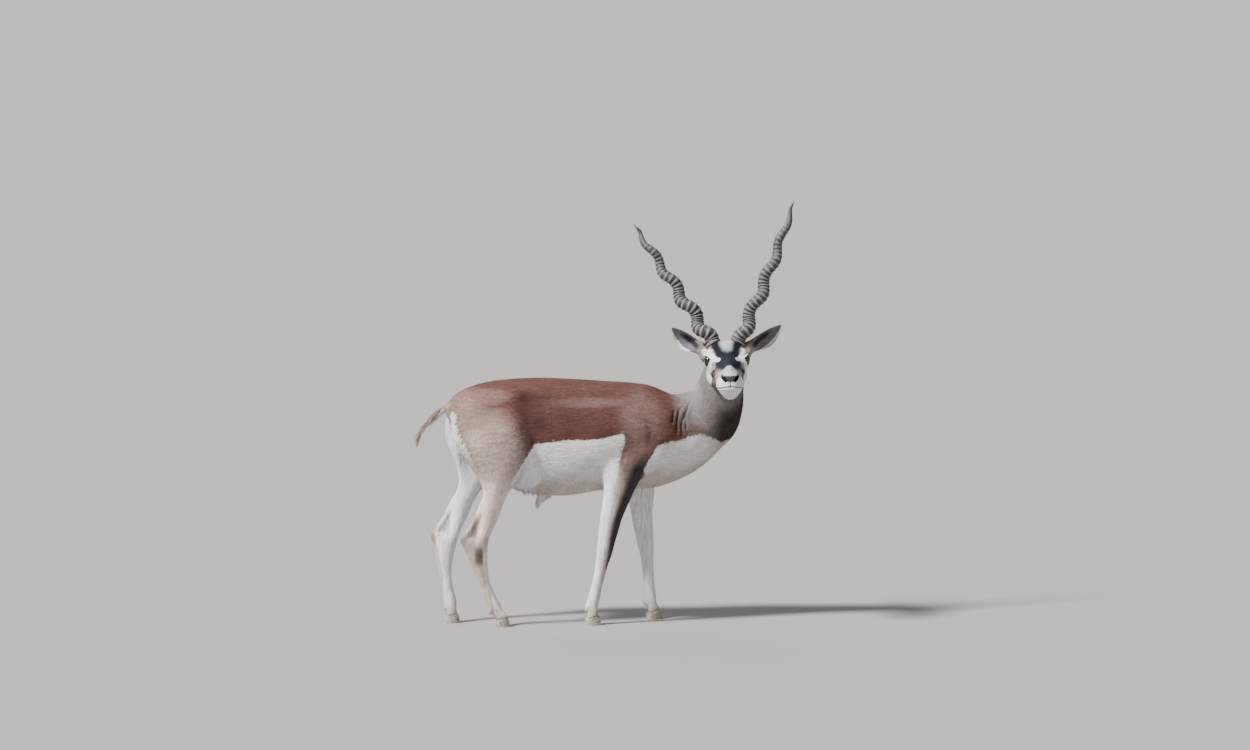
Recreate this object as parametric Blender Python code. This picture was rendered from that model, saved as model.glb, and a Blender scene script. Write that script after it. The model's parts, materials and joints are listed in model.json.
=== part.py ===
"""A standing young blackbuck buck, life size, its head turned to look out over its right side.

Units are metres. +X runs along the body to the chest, +Y to the animal's left, +Z up.
The flesh is lofted limb by limb, fused, relaxed into one skin and then parted with thin cuts.
"""

import math

import bmesh
import bpy
import numpy as np
from mathutils import Matrix, Vector
from mathutils.bvhtree import BVHTree

for old_object in list(bpy.data.objects):
    bpy.data.objects.remove(old_object, do_unlink=True)

# Driving sizes of the whole animal
WITHERS_HEIGHT = 0.714
RUMP_HEIGHT = 0.734
CHEST_HALF_WIDTH = 0.118
BODY_REAR = -0.455
BODY_FRONT = 0.385
SEAM_GAP = 0.0003

# How far the trunk swells back after its muscles are blended
BLEND_SWELL = 0.0022

# Fineness of the fused flesh, and how many triangles each skin keeps
BODY_VOXEL = 0.0033
HEAD_VOXEL = 0.0019
BODY_TRIANGLES = 6300
HEAD_TRIANGLES = 2500


def node_material(name, colour, roughness, metallic=0.0):
    """One plain finish: base colour, roughness and metal share."""
    material = bpy.data.materials.new(name)
    material.use_nodes = True
    shader = material.node_tree.nodes["Principled BSDF"]
    shader.inputs["Base Color"].default_value = (*colour, 1.0)
    shader.inputs["Roughness"].default_value = roughness
    shader.inputs["Metallic"].default_value = metallic
    return material


RUFOUS_COAT = node_material("rufous_coat", (0.36, 0.17, 0.10), 0.75)
WHITE_COAT = node_material("white_coat", (0.80, 0.78, 0.74), 0.8)
GREY_COAT = node_material("grey_neck_coat", (0.30, 0.23, 0.19), 0.78)
HORN_SHEATH = node_material("horn_sheath", (0.16, 0.14, 0.125), 0.42)
HOOF_HORN = node_material("hoof_horn", (0.07, 0.06, 0.055), 0.5)
EYE_GLOSS = node_material("eye_gloss", (0.02, 0.012, 0.008), 0.06)


def add_object(name, mesh, material=None):
    """Puts a mesh in the scene as a named object."""
    made = bpy.data.objects.new(name, mesh)
    bpy.context.scene.collection.objects.link(made)
    if material:
        mesh.materials.clear()
        mesh.materials.append(material)
    return made


def apply_modifiers(target):
    """Bakes an object's modifiers into its own mesh."""
    bpy.context.view_layer.update()
    graph = bpy.context.evaluated_depsgraph_get()
    baked = bpy.data.meshes.new_from_object(target.evaluated_get(graph))
    target.modifiers.clear()
    target.data = baked


def through(rows, count):
    """Samples a smooth curve through rows; the first three columns set its pace."""
    rows = np.array(rows, float)
    steps = np.linalg.norm(np.diff(rows[:, :3], axis=0), axis=1)
    knots = np.concatenate([[0.0], np.cumsum(steps)])
    slopes = np.gradient(rows, knots, axis=0)
    spots = np.linspace(0.0, knots[-1], count)
    at = np.clip(np.searchsorted(knots, spots, side="right") - 1, 0, len(knots) - 2)
    span = (knots[at + 1] - knots[at])[:, None]
    u = (spots - knots[at])[:, None] / span
    start = (1 + 2 * u) * (1 - u) ** 2 * rows[at] + u * (1 - u) ** 2 * span * slopes[at]
    end = u * u * (3 - 2 * u) * rows[at + 1] + u * u * (u - 1) * span * slopes[at + 1]
    return start + end


def skin_rings(name, rings):
    """A closed mesh over rings of points, with a fan at each end."""
    count, sides = rings.shape[:2]
    points = [*rings.reshape(-1, 3), rings[0].mean(0), rings[-1].mean(0)]
    first, last = count * sides, count * sides + 1
    faces = []
    for k in range(sides):
        nxt = (k + 1) % sides
        faces.append((first, nxt, k))
        faces.append((last, (count - 1) * sides + k, (count - 1) * sides + nxt))
        for i in range(count - 1):
            a, b = i * sides, (i + 1) * sides
            faces.append((a + k, a + nxt, b + nxt, b + k))
    mesh = bpy.data.meshes.new(name)
    mesh.from_pydata([tuple(p) for p in points], [], faces)
    work = bmesh.new()
    work.from_mesh(mesh)
    bmesh.ops.recalc_face_normals(work, faces=work.faces)
    work.to_mesh(mesh)
    work.free()
    return mesh


def tube_mesh(name, stations, side, count=22, sides=20, place=None):
    """A limb-like tube. Each station is x, y, z, half width to the side, half depth.

    side is one vector that the width lies along, or one for each station.
    """
    stations = np.array(stations, float)
    side = np.array(side, float)
    if side.ndim == 1:
        side = np.tile(side, (len(stations), 1))
    run = through(np.hstack([stations, side]), count)
    centre, half_side, half_deep, across = run[:, :3], run[:, 3], run[:, 4], run[:, 5:8]
    along = np.gradient(centre, axis=0)
    along /= np.linalg.norm(along, axis=1)[:, None]
    across -= (across * along).sum(1)[:, None] * along
    across /= np.linalg.norm(across, axis=1)[:, None]
    deep = np.cross(along, across)
    turn = np.linspace(0, 2 * math.pi, sides, endpoint=False)
    rings = (
        centre[:, None]
        + across[:, None] * (half_side[:, None] * np.cos(turn))[..., None]
        + deep[:, None] * (half_deep[:, None] * np.sin(turn))[..., None]
    )
    if place is not None:
        rings = rings @ place[:3, :3].T + place[:3, 3]
    return skin_rings(name, rings)


def barrel_mesh(name, sections, count=40, sides=32, place=None):
    """A trunk-like body. Each section is x, top, bottom, half width, egg.

    A positive egg widens the upper half of the section and narrows the lower.
    """
    table = np.array(sections, float)
    rows = np.column_stack([table[:, 0], 0 * table[:, 0], 0 * table[:, 0], table[:, 1:]])
    run = through(rows, count)
    turn = np.linspace(0, 2 * math.pi, sides, endpoint=False)
    rings = np.empty((count, sides, 3))
    for ring, (x, _, _, top, bottom, half_width, egg) in zip(rings, run):
        ring[:, 0] = x
        ring[:, 1] = half_width * np.cos(turn) * (1 + egg * np.sin(turn))
        ring[:, 2] = (top + bottom) / 2 + (top - bottom) / 2 * np.sin(turn)
    if place is not None:
        rings = rings @ place[:3, :3].T + place[:3, 3]
    return skin_rings(name, rings)


def ball_mesh(name, centre, radii, place=None, segments=20):
    """An ellipsoid, for a muscle or a bony knob."""
    mesh = bpy.data.meshes.new(name)
    work = bmesh.new()
    bmesh.ops.create_uvsphere(work, u_segments=segments, v_segments=segments // 2, radius=1.0)
    bmesh.ops.scale(work, vec=Vector(radii), verts=work.verts)
    bmesh.ops.translate(work, vec=Vector(centre), verts=work.verts)
    if place is not None:
        work.transform(Matrix([list(row) for row in place]))
    work.to_mesh(mesh)
    work.free()
    return mesh


def fuse(name, meshes, voxel):
    """Joins closed meshes that overlap into one skin of even small faces."""
    work = bmesh.new()
    for mesh in meshes:
        work.from_mesh(mesh)
    joined = bpy.data.meshes.new(name)
    work.to_mesh(joined)
    work.free()
    target = add_object(name, joined)
    remesh = target.modifiers.new("Fuse", "REMESH")
    remesh.mode = "VOXEL"
    remesh.voxel_size = voxel
    remesh.adaptivity = 0.0
    apply_modifiers(target)
    return target


def points_of(mesh):
    points = np.empty(len(mesh.vertices) * 3, np.float32)
    mesh.vertices.foreach_get("co", points)
    return points.reshape(-1, 3).astype(float)


def set_points(mesh, points):
    mesh.vertices.foreach_set("co", points.astype(np.float32).ravel())
    mesh.update()


def relax(mesh, rounds, weights=None, pulls=(0.5, -0.53)):
    """Smooths a skin. Each round pulls in, then swells back, unless only a pull is given."""
    ends = np.empty(len(mesh.edges) * 2, np.int32)
    mesh.edges.foreach_get("vertices", ends)
    first, second = ends.reshape(-1, 2).T
    total = len(mesh.vertices)
    joins = np.bincount(first, minlength=total) + np.bincount(second, minlength=total)
    points = points_of(mesh)
    strength = 1.0 if weights is None else weights[:, None]
    for _ in range(rounds):
        for pull in pulls:
            mean = np.empty_like(points)
            for axis in range(3):
                mean[:, axis] = np.bincount(
                    first, points[second, axis], minlength=total
                ) + np.bincount(second, points[first, axis], minlength=total)
            points += pull * strength * (mean / joins[:, None] - points)
    set_points(mesh, points)


def swell(mesh, depth):
    """Moves each point of a skin out along its normal by its own depth."""
    normals = np.empty(len(mesh.vertices) * 3, np.float32)
    mesh.vertices.foreach_get("normal", normals)
    set_points(mesh, points_of(mesh) + normals.reshape(-1, 3) * depth[:, None])


def thin_out(target, triangles):
    """Lowers the triangle count, keeping the shape where it bends most."""
    work = bmesh.new()
    work.from_mesh(target.data)
    bmesh.ops.triangulate(work, faces=work.faces)
    work.to_mesh(target.data)
    work.free()
    decimate = target.modifiers.new("Thin", "DECIMATE")
    decimate.ratio = triangles / len(target.data.polygons)
    apply_modifiers(target)


# Legs as level sections, read off the right side of the stance.
# Fore sections: height, rear edge, front edge, half width; then how far out the leg stands
FORE_SECTIONS = [
    (0.530, 0.040, 0.165, 0.028),
    (0.490, 0.002, 0.142, 0.034),
    (0.462, -0.008, 0.1226, 0.035),
    (0.432, -0.0023, 0.109, 0.034),
    (0.402, -0.0008, 0.093, 0.031),
    (0.372, -0.0023, 0.080, 0.028),
    (0.342, -0.008, 0.066, 0.0255),
    (0.312, -0.011, 0.054, 0.0235),
    (0.282, -0.0145, 0.047, 0.0215),
    (0.252, -0.0175, 0.038, 0.0200),
    (0.226, -0.0205, 0.031, 0.0200),
    (0.205, -0.0210, 0.0255, 0.0190),
    (0.190, -0.0215, 0.0195, 0.0165),
    (0.163, -0.0250, 0.0115, 0.0145),
    (0.133, -0.0310, 0.0038, 0.0138),
    (0.103, -0.0385, -0.0037, 0.0142),
    (0.075, -0.0470, -0.0080, 0.0172),
    (0.054, -0.0515, -0.0130, 0.0172),
]
THIGH_SECTIONS = [
    (0.695, -0.385, -0.290, 0.008),
    (0.665, -0.425, -0.245, 0.026),
    (0.620, -0.450, -0.215, 0.041),
    (0.565, -0.450, -0.208, 0.048),
    (0.511, -0.421, -0.214, 0.047),
    (0.466, -0.388, -0.236, 0.043),
    (0.436, -0.369, -0.257, 0.038),
    (0.406, -0.360, -0.279, 0.033),
    (0.382, -0.3617, -0.293, 0.029),
    (0.350, -0.368, -0.304, 0.024),
    (0.316, -0.367, -0.3155, 0.0205),
    (0.286, -0.373, -0.331, 0.0180),
    (0.256, -0.385, -0.342, 0.0180),
    (0.235, -0.392, -0.3435, 0.0178),
]
HOCK_SECTIONS = [
    (0.269, -0.4270, -0.4060, 0.0095),
    (0.258, -0.4280, -0.3700, 0.0120),
    (0.242, -0.4200, -0.3440, 0.0165),
    (0.222, -0.4110, -0.3435, 0.0178),
    (0.196, -0.3995, -0.3435, 0.0172),
    (0.172, -0.3890, -0.3425, 0.0155),
    (0.150, -0.3795, -0.3400, 0.0145),
    (0.112, -0.3615, -0.3280, 0.0136),
    (0.088, -0.3530, -0.3165, 0.0142),
    (0.066, -0.3450, -0.3050, 0.0172),
    (0.050, -0.3390, -0.3000, 0.0172),
]
TENDON_STATIONS = [
    (-0.352, 0.372, 0.012, 0.016),
    (-0.371, 0.335, 0.0085, 0.0115),
    (-0.389, 0.307, 0.0075, 0.0080),
    (-0.405, 0.283, 0.0080, 0.0080),
    (-0.417, 0.264, 0.0095, 0.0095),
]
FORE_FOOT = 0.058
HIND_FOOT = 0.055
FORE_SPREAD = 0.024
HIND_SPREAD = 0.028
# Where each foot stands along the body
TOES = {
    "fore_right": -0.028,
    "fore_left": 0.171,
    "hind_right": -0.300,
    "hind_left": -0.436,
}
HOOF_LENGTH = 0.046
HOOF_HALF_WIDTH = 0.0108
TOE_SPREAD = 0.0128
CORONET_HEIGHT = 0.0245
CORONET_SLOPE = 0.30
SIDEWAYS = (0, 1, 0)


def ease(low, high, value):
    """A smooth step from 0 at low to 1 at high."""
    share = min(1.0, max(0.0, (value - low) / (high - low)))
    return share * share * (3 - 2 * share)


def swing(leg, z):
    """How far along the body a left leg stands from its right fellow, at height z."""
    if leg == "fore_left":
        return 0.082 * (1 - ease(0.36, 0.60, z)) + 0.30 * max(0.0, 0.42 - z)
    if leg == "hind_left":
        return -0.070 * (1 - ease(0.31, 0.62, z)) - 0.238 * max(0.0, 0.264 - z)
    return 0.0


def stand_out(leg, z):
    """How far a leg's middle lies from the animal's middle plane, at height z."""
    foot, spread = (FORE_FOOT, FORE_SPREAD) if leg.startswith("fore") else (HIND_FOOT, HIND_SPREAD)
    side = 1 if leg.endswith("left") else -1
    return side * (foot + spread * ease(0.02, 0.47, z) - 0.032 * ease(0.54, 0.69, z))


def profile_mesh(name, leg, sections, count=40, sides=24):
    """A leg from level sections, swung and stood out for its corner of the body."""
    table = np.array(sections, float)
    rows = np.column_stack([table[:, 1:3].mean(1), 0 * table[:, 0], table])
    run = through(rows, count)
    turn = np.linspace(0, 2 * math.pi, sides, endpoint=False)
    rings = np.empty((count, sides, 3))
    for ring, (_, _, z, rear, front, half_width) in zip(rings, run):
        ring[:, 0] = (rear + front) / 2 + swing(leg, z) + (front - rear) / 2 * np.cos(turn)
        ring[:, 1] = stand_out(leg, z) + half_width * np.sin(turn)
        ring[:, 2] = z
    return skin_rings(name, rings)


def foot_meshes(leg, last):
    """Two pasterns from the fetlock to the claws, and the dew claws behind."""
    z, rear, front, _ = last
    shift = swing(leg, z)
    middle = (rear + front) / 2 + shift
    y = stand_out(leg, z)
    toe = TOES[leg]
    made = []
    for sign in (-1, 1):
        stations = [
            (middle, y + sign * 0.006, z + 0.008, 0.0125, 0.0165),
            (middle + (toe - middle) * 0.45, y + sign * 0.010, z * 0.72, 0.0112, 0.0160),
            (toe - 0.002, y + sign * TOE_SPREAD, CORONET_HEIGHT + 0.004, 0.0100, 0.0172),
            (toe + 0.001, y + sign * TOE_SPREAD, CORONET_HEIGHT - 0.014, 0.0096, 0.0180),
        ]
        made.append(tube_mesh("pastern", stations, SIDEWAYS, 14, 16))
        claw = (rear + shift + 0.003, y + sign * 0.0098, z - 0.004)
        made.append(ball_mesh("dew_claw", claw, (0.0072, 0.0062, 0.0105)))
    return made


def foreleg_meshes(leg):
    """Shoulder blade, arm, the mass behind it, and the leg down to the claws."""
    shift = 0.035 if leg == "fore_left" else 0.0
    out = 1 if leg.endswith("left") else -1

    def at(x, y, z):
        return (x + shift * (1 - ease(0.5, 0.66, z)), out * y, z)

    blade = [
        (*at(0.080, 0.034, 0.690), 0.022, 0.030),
        (*at(0.112, 0.058, 0.630), 0.028, 0.052),
        (*at(0.150, 0.070, 0.560), 0.030, 0.056),
        (*at(0.172, 0.072, 0.515), 0.026, 0.044),
    ]
    arm = [
        (*at(0.190, 0.064, 0.525), 0.024, 0.036),
        (*at(0.135, 0.074, 0.498), 0.031, 0.052),
        (*at(0.070, 0.080, 0.482), 0.031, 0.050),
        (*at(0.030, 0.080, 0.474), 0.026, 0.032),
    ]
    triceps = [
        (*at(0.070, 0.060, 0.630), 0.020, 0.040),
        (*at(0.050, 0.076, 0.555), 0.029, 0.052),
        (*at(0.026, 0.080, 0.480), 0.024, 0.032),
    ]
    return [
        tube_mesh("blade", blade, SIDEWAYS),
        tube_mesh("arm", arm, SIDEWAYS),
        tube_mesh("triceps", triceps, SIDEWAYS),
        profile_mesh("foreleg", leg, FORE_SECTIONS, 60),
        *foot_meshes(leg, FORE_SECTIONS[-1]),
    ]


def hindleg_meshes(leg):
    """Thigh, gaskin, tendon, the web of skin between, hock and foot."""
    tendon = [
        (x + swing(leg, z), stand_out(leg, z), z, wide, deep)
        for x, z, wide, deep in TENDON_STATIONS
    ]
    web = [(z, x - 0.002, x + 0.050, 0.0048) for x, z, _, _ in TENDON_STATIONS]
    return [
        profile_mesh("thigh", leg, THIGH_SECTIONS, 50, 28),
        profile_mesh("hock", leg, HOCK_SECTIONS, 50),
        tube_mesh("tendon", tendon, SIDEWAYS, 20, 16),
        profile_mesh("web", leg, web, 20),
        *foot_meshes(leg, HOCK_SECTIONS[-1]),
    ]


# Trunk sections: x, top, bottom, half width, egg
TRUNK_SECTIONS = [
    (BODY_REAR, 0.664, 0.610, 0.016, 0.0),
    (-0.438, 0.684, 0.575, 0.040, 0.05),
    (-0.400, 0.705, 0.530, 0.064, 0.10),
    (-0.345, 0.722, 0.478, 0.080, 0.14),
    (-0.275, 0.731, 0.415, 0.088, 0.12),
    (-0.190, RUMP_HEIGHT, 0.389, 0.098, 0.04),
    (-0.110, 0.731, 0.380, 0.110, -0.04),
    (-0.030, 0.725, 0.390, CHEST_HALF_WIDTH, -0.02),
    (0.040, 0.719, 0.399, CHEST_HALF_WIDTH, 0.04),
    (0.110, WITHERS_HEIGHT, 0.397, 0.106, 0.06),
    (0.165, 0.702, 0.400, 0.096, 0.06),
    (0.225, 0.670, 0.418, 0.088, 0.05),
    (0.285, 0.640, 0.448, 0.078, 0.04),
    (0.335, 0.618, 0.486, 0.062, 0.02),
    (0.370, 0.590, 0.522, 0.040, 0.0),
    (BODY_FRONT, 0.568, 0.545, 0.014, 0.0),
]
SHEATH_TIP = (-0.190, 0.0, 0.344)
TAIL_STATIONS = [
    (-0.405, 0.0, 0.668, 0.020, 0.020),
    (-0.442, 0.0, 0.657, 0.0165, 0.0150),
    (-0.478, 0.0, 0.638, 0.0140, 0.0120),
    (-0.511, 0.0, 0.607, 0.0115, 0.0100),
    (-0.538, 0.0, 0.576, 0.0085, 0.0075),
    (-0.549, 0.0, 0.558, 0.0045, 0.0045),
]


def trunk_meshes():
    """The barrel of the body, the sheath under the belly, the purse and the hip bones."""
    x, y, z = SHEATH_TIP
    sheath = [
        (x + 0.070, y, z + 0.056, 0.012, 0.012),
        (x + 0.030, y, z + 0.044, 0.013, 0.013),
        (x + 0.006, y, z + 0.024, 0.010, 0.010),
        (x, y, z + 0.004, 0.0055, 0.0055),
    ]
    made = [
        barrel_mesh("barrel", TRUNK_SECTIONS, 60, 40),
        tube_mesh("sheath", sheath, SIDEWAYS, 14, 14),
        ball_mesh("purse", (-0.318, 0.0, 0.425), (0.024, 0.021, 0.040)),
        tube_mesh("tail_root", TAIL_STATIONS, SIDEWAYS, 20, 16),
    ]
    for sign in (-1, 1):
        made.append(ball_mesh("hip_bone", (-0.250, sign * 0.052, 0.686), (0.050, 0.024, 0.028)))
        made.append(ball_mesh("flank", (-0.238, sign * 0.062, 0.462), (0.062, 0.020, 0.062)))
    return made


# Neck: it leaves the chest forwards and up, and turns over the right shoulder
HEAD_LEFT = (0.995, -0.09, 0.0)
NECK_STATIONS = [
    (0.165, 0.000, 0.583, 0.082, 0.106),
    (0.245, 0.000, 0.584, 0.082, 0.094),
    (0.316, -0.010, 0.605, 0.080, 0.098),
    (0.347, -0.034, 0.660, 0.074, 0.087),
    (0.356, -0.058, 0.712, 0.067, 0.071),
    (0.362, -0.074, 0.758, 0.057, 0.060),
    (0.364, -0.084, 0.790, 0.044, 0.048),
]
NECK_LEFTS = [
    (0.0, 1.0, 0.0),
    (0.05, 1.0, 0.0),
    (0.40, 0.92, 0.0),
    (0.75, 0.66, 0.0),
    (0.93, 0.36, 0.0),
    (0.98, 0.15, 0.0),
    HEAD_LEFT,
]

# Head frame: x to the nose, y to its left, z to the crown; zero lies at the nape
HEAD_SEAT = (0.366, -0.050, 0.796)
HEAD_YAW = math.radians(-95)
HEAD_PITCH = math.radians(8.4)
HEAD_ROLL = math.radians(1.6)
HEAD_FRAME = np.array(
    Matrix.Translation(HEAD_SEAT)
    @ Matrix.Rotation(HEAD_YAW, 4, "Z")
    @ Matrix.Rotation(HEAD_PITCH, 4, "Y")
    @ Matrix.Rotation(HEAD_ROLL, 4, "X")
)
# Head sections: x, top, bottom, half width, egg
SKULL_SECTIONS = [
    (-0.012, 0.020, -0.030, 0.022, 0.0),
    (0.010, 0.040, -0.052, 0.042, 0.05),
    (0.040, 0.055, -0.072, 0.052, 0.08),
    (0.075, 0.061, -0.080, 0.0575, 0.12),
    (0.110, 0.057, -0.080, 0.0580, 0.18),
    (0.140, 0.046, -0.076, 0.0490, 0.16),
    (0.170, 0.035, -0.072, 0.0400, 0.08),
    (0.200, 0.027, -0.070, 0.0355, 0.0),
    (0.230, 0.020, -0.071, 0.0350, -0.05),
    (0.250, 0.013, -0.068, 0.0335, -0.08),
    (0.263, 0.002, -0.056, 0.0270, -0.05),
    (0.271, -0.014, -0.040, 0.0130, 0.0),
]
EYE_PLACE = (0.121, 0.0490, 0.016)
EYE_RADIUS = 0.0180
EYE_LOOK = (0.42, 0.90, 0.10)
LID_DEPTH = 0.0022
LID_OPENING = (0.0172, 0.0112)
NOSTRIL_PLACE = (0.2655, 0.0195, -0.0025)
MOUTH_LEVEL = -0.033
MOUTH_CENTRE = 0.215
EAR_ROOT = (0.045, 0.062, 0.027)
EAR_TIPS = {"right": (0.018, -0.156, 0.0945), "left": (0.018, 0.169, 0.0925)}
EAR_START = 0.016
EAR_HALF_WIDTH = 0.0290
EAR_BOW = 0.0118
HORN_ROOT = (0.062, 0.034, 0.050)
HORN_TIPS = {"right": (-0.135, -0.2545, 0.3760), "left": (-0.130, 0.2230, 0.4340)}
HORN_RADIUS = 0.0228
# Each horn: where its twist starts, its turns, how wide it winds, how far it bows out
HORN_SPIRALS = {"right": (0.30, 4.35, 0.0112, 0.001), "left": (1.10, 4.17, 0.0102, 0.009)}


def to_world(point):
    """A point of the head frame, in the world."""
    return HEAD_FRAME[:3, :3] @ np.array(point, float) + HEAD_FRAME[:3, 3]


def turn_to_world(direction):
    turned = HEAD_FRAME[:3, :3] @ np.array(direction, float)
    return turned / np.linalg.norm(turned)


def horn_line(side, shares):
    """The corkscrew centre line of one horn, at shares 0 to 1 of its length."""
    sign = 1 if side == "left" else -1
    root = to_world((HORN_ROOT[0], sign * HORN_ROOT[1], HORN_ROOT[2]))
    tip = to_world(HORN_TIPS[side])
    phase, turns, wide, bow = HORN_SPIRALS[side]
    axis = (tip - root) / np.linalg.norm(tip - root)
    inward = turn_to_world((0, -sign, 0))
    inward -= axis * (inward @ axis)
    inward /= np.linalg.norm(inward)
    front = turn_to_world((1, 0, 0))
    front -= axis * (front @ axis) + inward * (front @ inward)
    front /= np.linalg.norm(front)
    line = []
    for share in shares:
        angle = phase + 2 * math.pi * turns * max(share, 0.0) ** 0.95
        reach = wide * ease(0.0, 0.10, share) * (1 - 0.55 * share) * (1 - ease(0.93, 1.0, share))
        line.append(
            root
            + (tip - root) * share
            + inward * (reach * math.sin(angle) - 4 * bow * share * (1 - share))
            - front * reach * math.cos(angle)
        )
    return np.array(line)


def ear_axis(side):
    """Root, unit direction and length of one ear."""
    sign = 1 if side == "left" else -1
    root = to_world((EAR_ROOT[0], sign * EAR_ROOT[1], EAR_ROOT[2]))
    reach = to_world(EAR_TIPS[side]) - root
    length = np.linalg.norm(reach)
    return root, reach / length, length


def head_meshes():
    """Skull, cheeks, brows, muzzle and lips, in the head's own frame."""
    made = [
        barrel_mesh("skull", SKULL_SECTIONS, 48, 36, HEAD_FRAME),
        ball_mesh("nose_bridge", (0.172, 0.0, 0.016), (0.078, 0.020, 0.017), HEAD_FRAME),
        ball_mesh("chin", (0.232, 0.0, -0.058), (0.030, 0.023, 0.0170), HEAD_FRAME),
        ball_mesh("nose", (0.252, 0.0, -0.005), (0.020, 0.0255, 0.0155), HEAD_FRAME),
    ]
    for sign in (-1, 1):
        brow = (0.104, sign * 0.0400, 0.023)
        orbit = (0.118, sign * 0.0440, 0.009)
        arch = (0.108, sign * 0.0420, -0.010)
        cheek = (0.088, sign * 0.030, -0.036)
        lip = (0.236, sign * 0.0215, -0.026)
        temple = (0.040, sign * 0.0580, 0.012)
        made += [
            ball_mesh("brow", brow, (0.042, 0.0235, 0.025), HEAD_FRAME),
            ball_mesh("orbit", orbit, (0.038, 0.0215, 0.027), HEAD_FRAME),
            ball_mesh("arch", arch, (0.060, 0.0155, 0.018), HEAD_FRAME),
            ball_mesh("cheek", cheek, (0.056, 0.030, 0.038), HEAD_FRAME),
            ball_mesh("temple", temple, (0.026, 0.0190, 0.022), HEAD_FRAME),
            ball_mesh("lip", lip, (0.030, 0.0195, 0.0225), HEAD_FRAME),
        ]
    for side in ("right", "left"):
        near, far = horn_line(side, (0.0, 0.05))
        along = (far - near) / np.linalg.norm(far - near)
        stub = [
            (*(near - along * 0.030), 0.026, 0.026),
            (*(near - along * 0.004), HORN_RADIUS - 0.0006, HORN_RADIUS - 0.0006),
            (*(near + along * 0.016), HORN_RADIUS - 0.001, HORN_RADIUS - 0.001),
        ]
        made.append(tube_mesh("horn_stub", stub, tuple(turn_to_world((1, 0, 0))), 12, 20))
        root, reach, _ = ear_axis(side)
        stub = [
            (*(root - reach * 0.028), 0.024, 0.020),
            (*(root - reach * 0.004), 0.0206, 0.0155),
            (*(root + reach * (EAR_START + 0.010)), 0.0212, 0.0148),
        ]
        made.append(tube_mesh("ear_stub", stub, tuple(turn_to_world((0, 0, 1))), 12, 16))
    return made


def neck_meshes():
    return [tube_mesh("neck_loft", NECK_STATIONS, NECK_LEFTS, 40, 32)]


LEGS = ("fore_right", "fore_left", "hind_right", "hind_left")
SIDES = ("right", "left")


def ramp(low, high, values):
    """The smooth step of ease, for a whole array."""
    share = np.clip((values - low) / (high - low), 0.0, 1.0)
    return share * share * (3 - 2 * share)


def build_body_skin():
    """Trunk, neck, tail root and legs as one skin, with the trunk's muscles blended."""
    pieces = trunk_meshes() + neck_meshes()
    pieces.append(barrel_mesh("skull", SKULL_SECTIONS, 48, 36, HEAD_FRAME))
    for leg in LEGS:
        pieces += foreleg_meshes(leg) if leg.startswith("fore") else hindleg_meshes(leg)
    skin = fuse("body_skin", pieces, BODY_VOXEL)
    relax(skin.data, 14)
    points = points_of(skin.data)
    trunk = ramp(0.40, 0.47, points[:, 2]) * (1 - ramp(0.30, 0.36, points[:, 0]))
    trunk *= ramp(-0.46, -0.41, points[:, 0])
    relax(skin.data, 60, trunk, (0.5,))
    swell(skin.data, trunk * BLEND_SWELL)
    relax(skin.data, 20)
    return skin


def build_head_skin():
    """The head with the top of the neck, blended, and then its lids set on it."""
    blended = fuse("blended", head_meshes() + neck_meshes(), HEAD_VOXEL)
    relax(blended.data, 20, None, (0.5,))
    swell(blended.data, np.full(len(blended.data.vertices), 0.0008))
    pieces = [blended.data]
    for sign in (-1, 1):
        eye = (EYE_PLACE[0], sign * EYE_PLACE[1], EYE_PLACE[2])
        pieces.append(ball_mesh("lid", eye, [EYE_RADIUS + LID_DEPTH] * 3, HEAD_FRAME, 28))
    skin = fuse("head_skin", pieces, HEAD_VOXEL)
    bpy.data.objects.remove(blended, do_unlink=True)
    relax(skin.data, 6)
    return skin


def frame_of(normal, hint):
    """Three unit axes: two in a plane, then its normal."""
    normal = np.array(normal, float) / np.linalg.norm(normal)
    across = np.array(hint, float)
    across -= normal * (across @ normal)
    across /= np.linalg.norm(across)
    return np.column_stack([across, np.cross(normal, across), normal])


def region_mesh(point, normal, hint, half_across, half_up, reach):
    """A box that starts at a plane and reaches along its normal."""
    axes = frame_of(normal, hint)
    rings = np.empty((2, 4, 3))
    corners = ((-1, -1), (1, -1), (1, 1), (-1, 1))
    for ring, away in zip(rings, (0.0, reach)):
        for corner, (a, b) in zip(ring, corners):
            corner[:] = np.array(point) + axes @ (a * half_across, b * half_up, away)
    return skin_rings("region", rings)


def post_mesh(point, normal, radius, reach):
    """A round region that starts at a plane, for the seat of a horn or an ear."""
    axes = frame_of(normal, (0.1, 0.2, 1))
    turn = np.linspace(0, 2 * math.pi, 20, endpoint=False)
    ring = np.outer(np.cos(turn), axes[:, 0]) + np.outer(np.sin(turn), axes[:, 1])
    start = np.array(point) + ring * radius
    return skin_rings("region", np.array([start, start + axes[:, 2] * reach]))


def wedge_mesh(x_range, outline):
    """A prism along the body, over an outline of side and height."""
    rings = np.array([[(x, y, z) for y, z in outline] for x in x_range])
    return skin_rings("region", rings)


def largest_part(target):
    """Keeps only the biggest closed surface of a mesh, with its faces turned outwards."""
    work = bmesh.new()
    work.from_mesh(target.data)
    bmesh.ops.remove_doubles(work, verts=work.verts, dist=2e-6)
    bmesh.ops.triangulate(work, faces=work.faces)
    unseen = set(work.verts)
    parts = []
    while unseen:
        part, edge = set(), [unseen.pop()]
        while edge:
            vertex = edge.pop()
            part.add(vertex)
            for joined in vertex.link_edges:
                other = joined.other_vert(vertex)
                if other in unseen:
                    unseen.discard(other)
                    edge.append(other)
        parts.append(part)
    parts.sort(key=len)
    for part in parts[:-1]:
        bmesh.ops.delete(work, geom=list(part), context="VERTS")
    bmesh.ops.recalc_face_normals(work, faces=work.faces)
    work.to_mesh(target.data)
    work.free()


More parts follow.
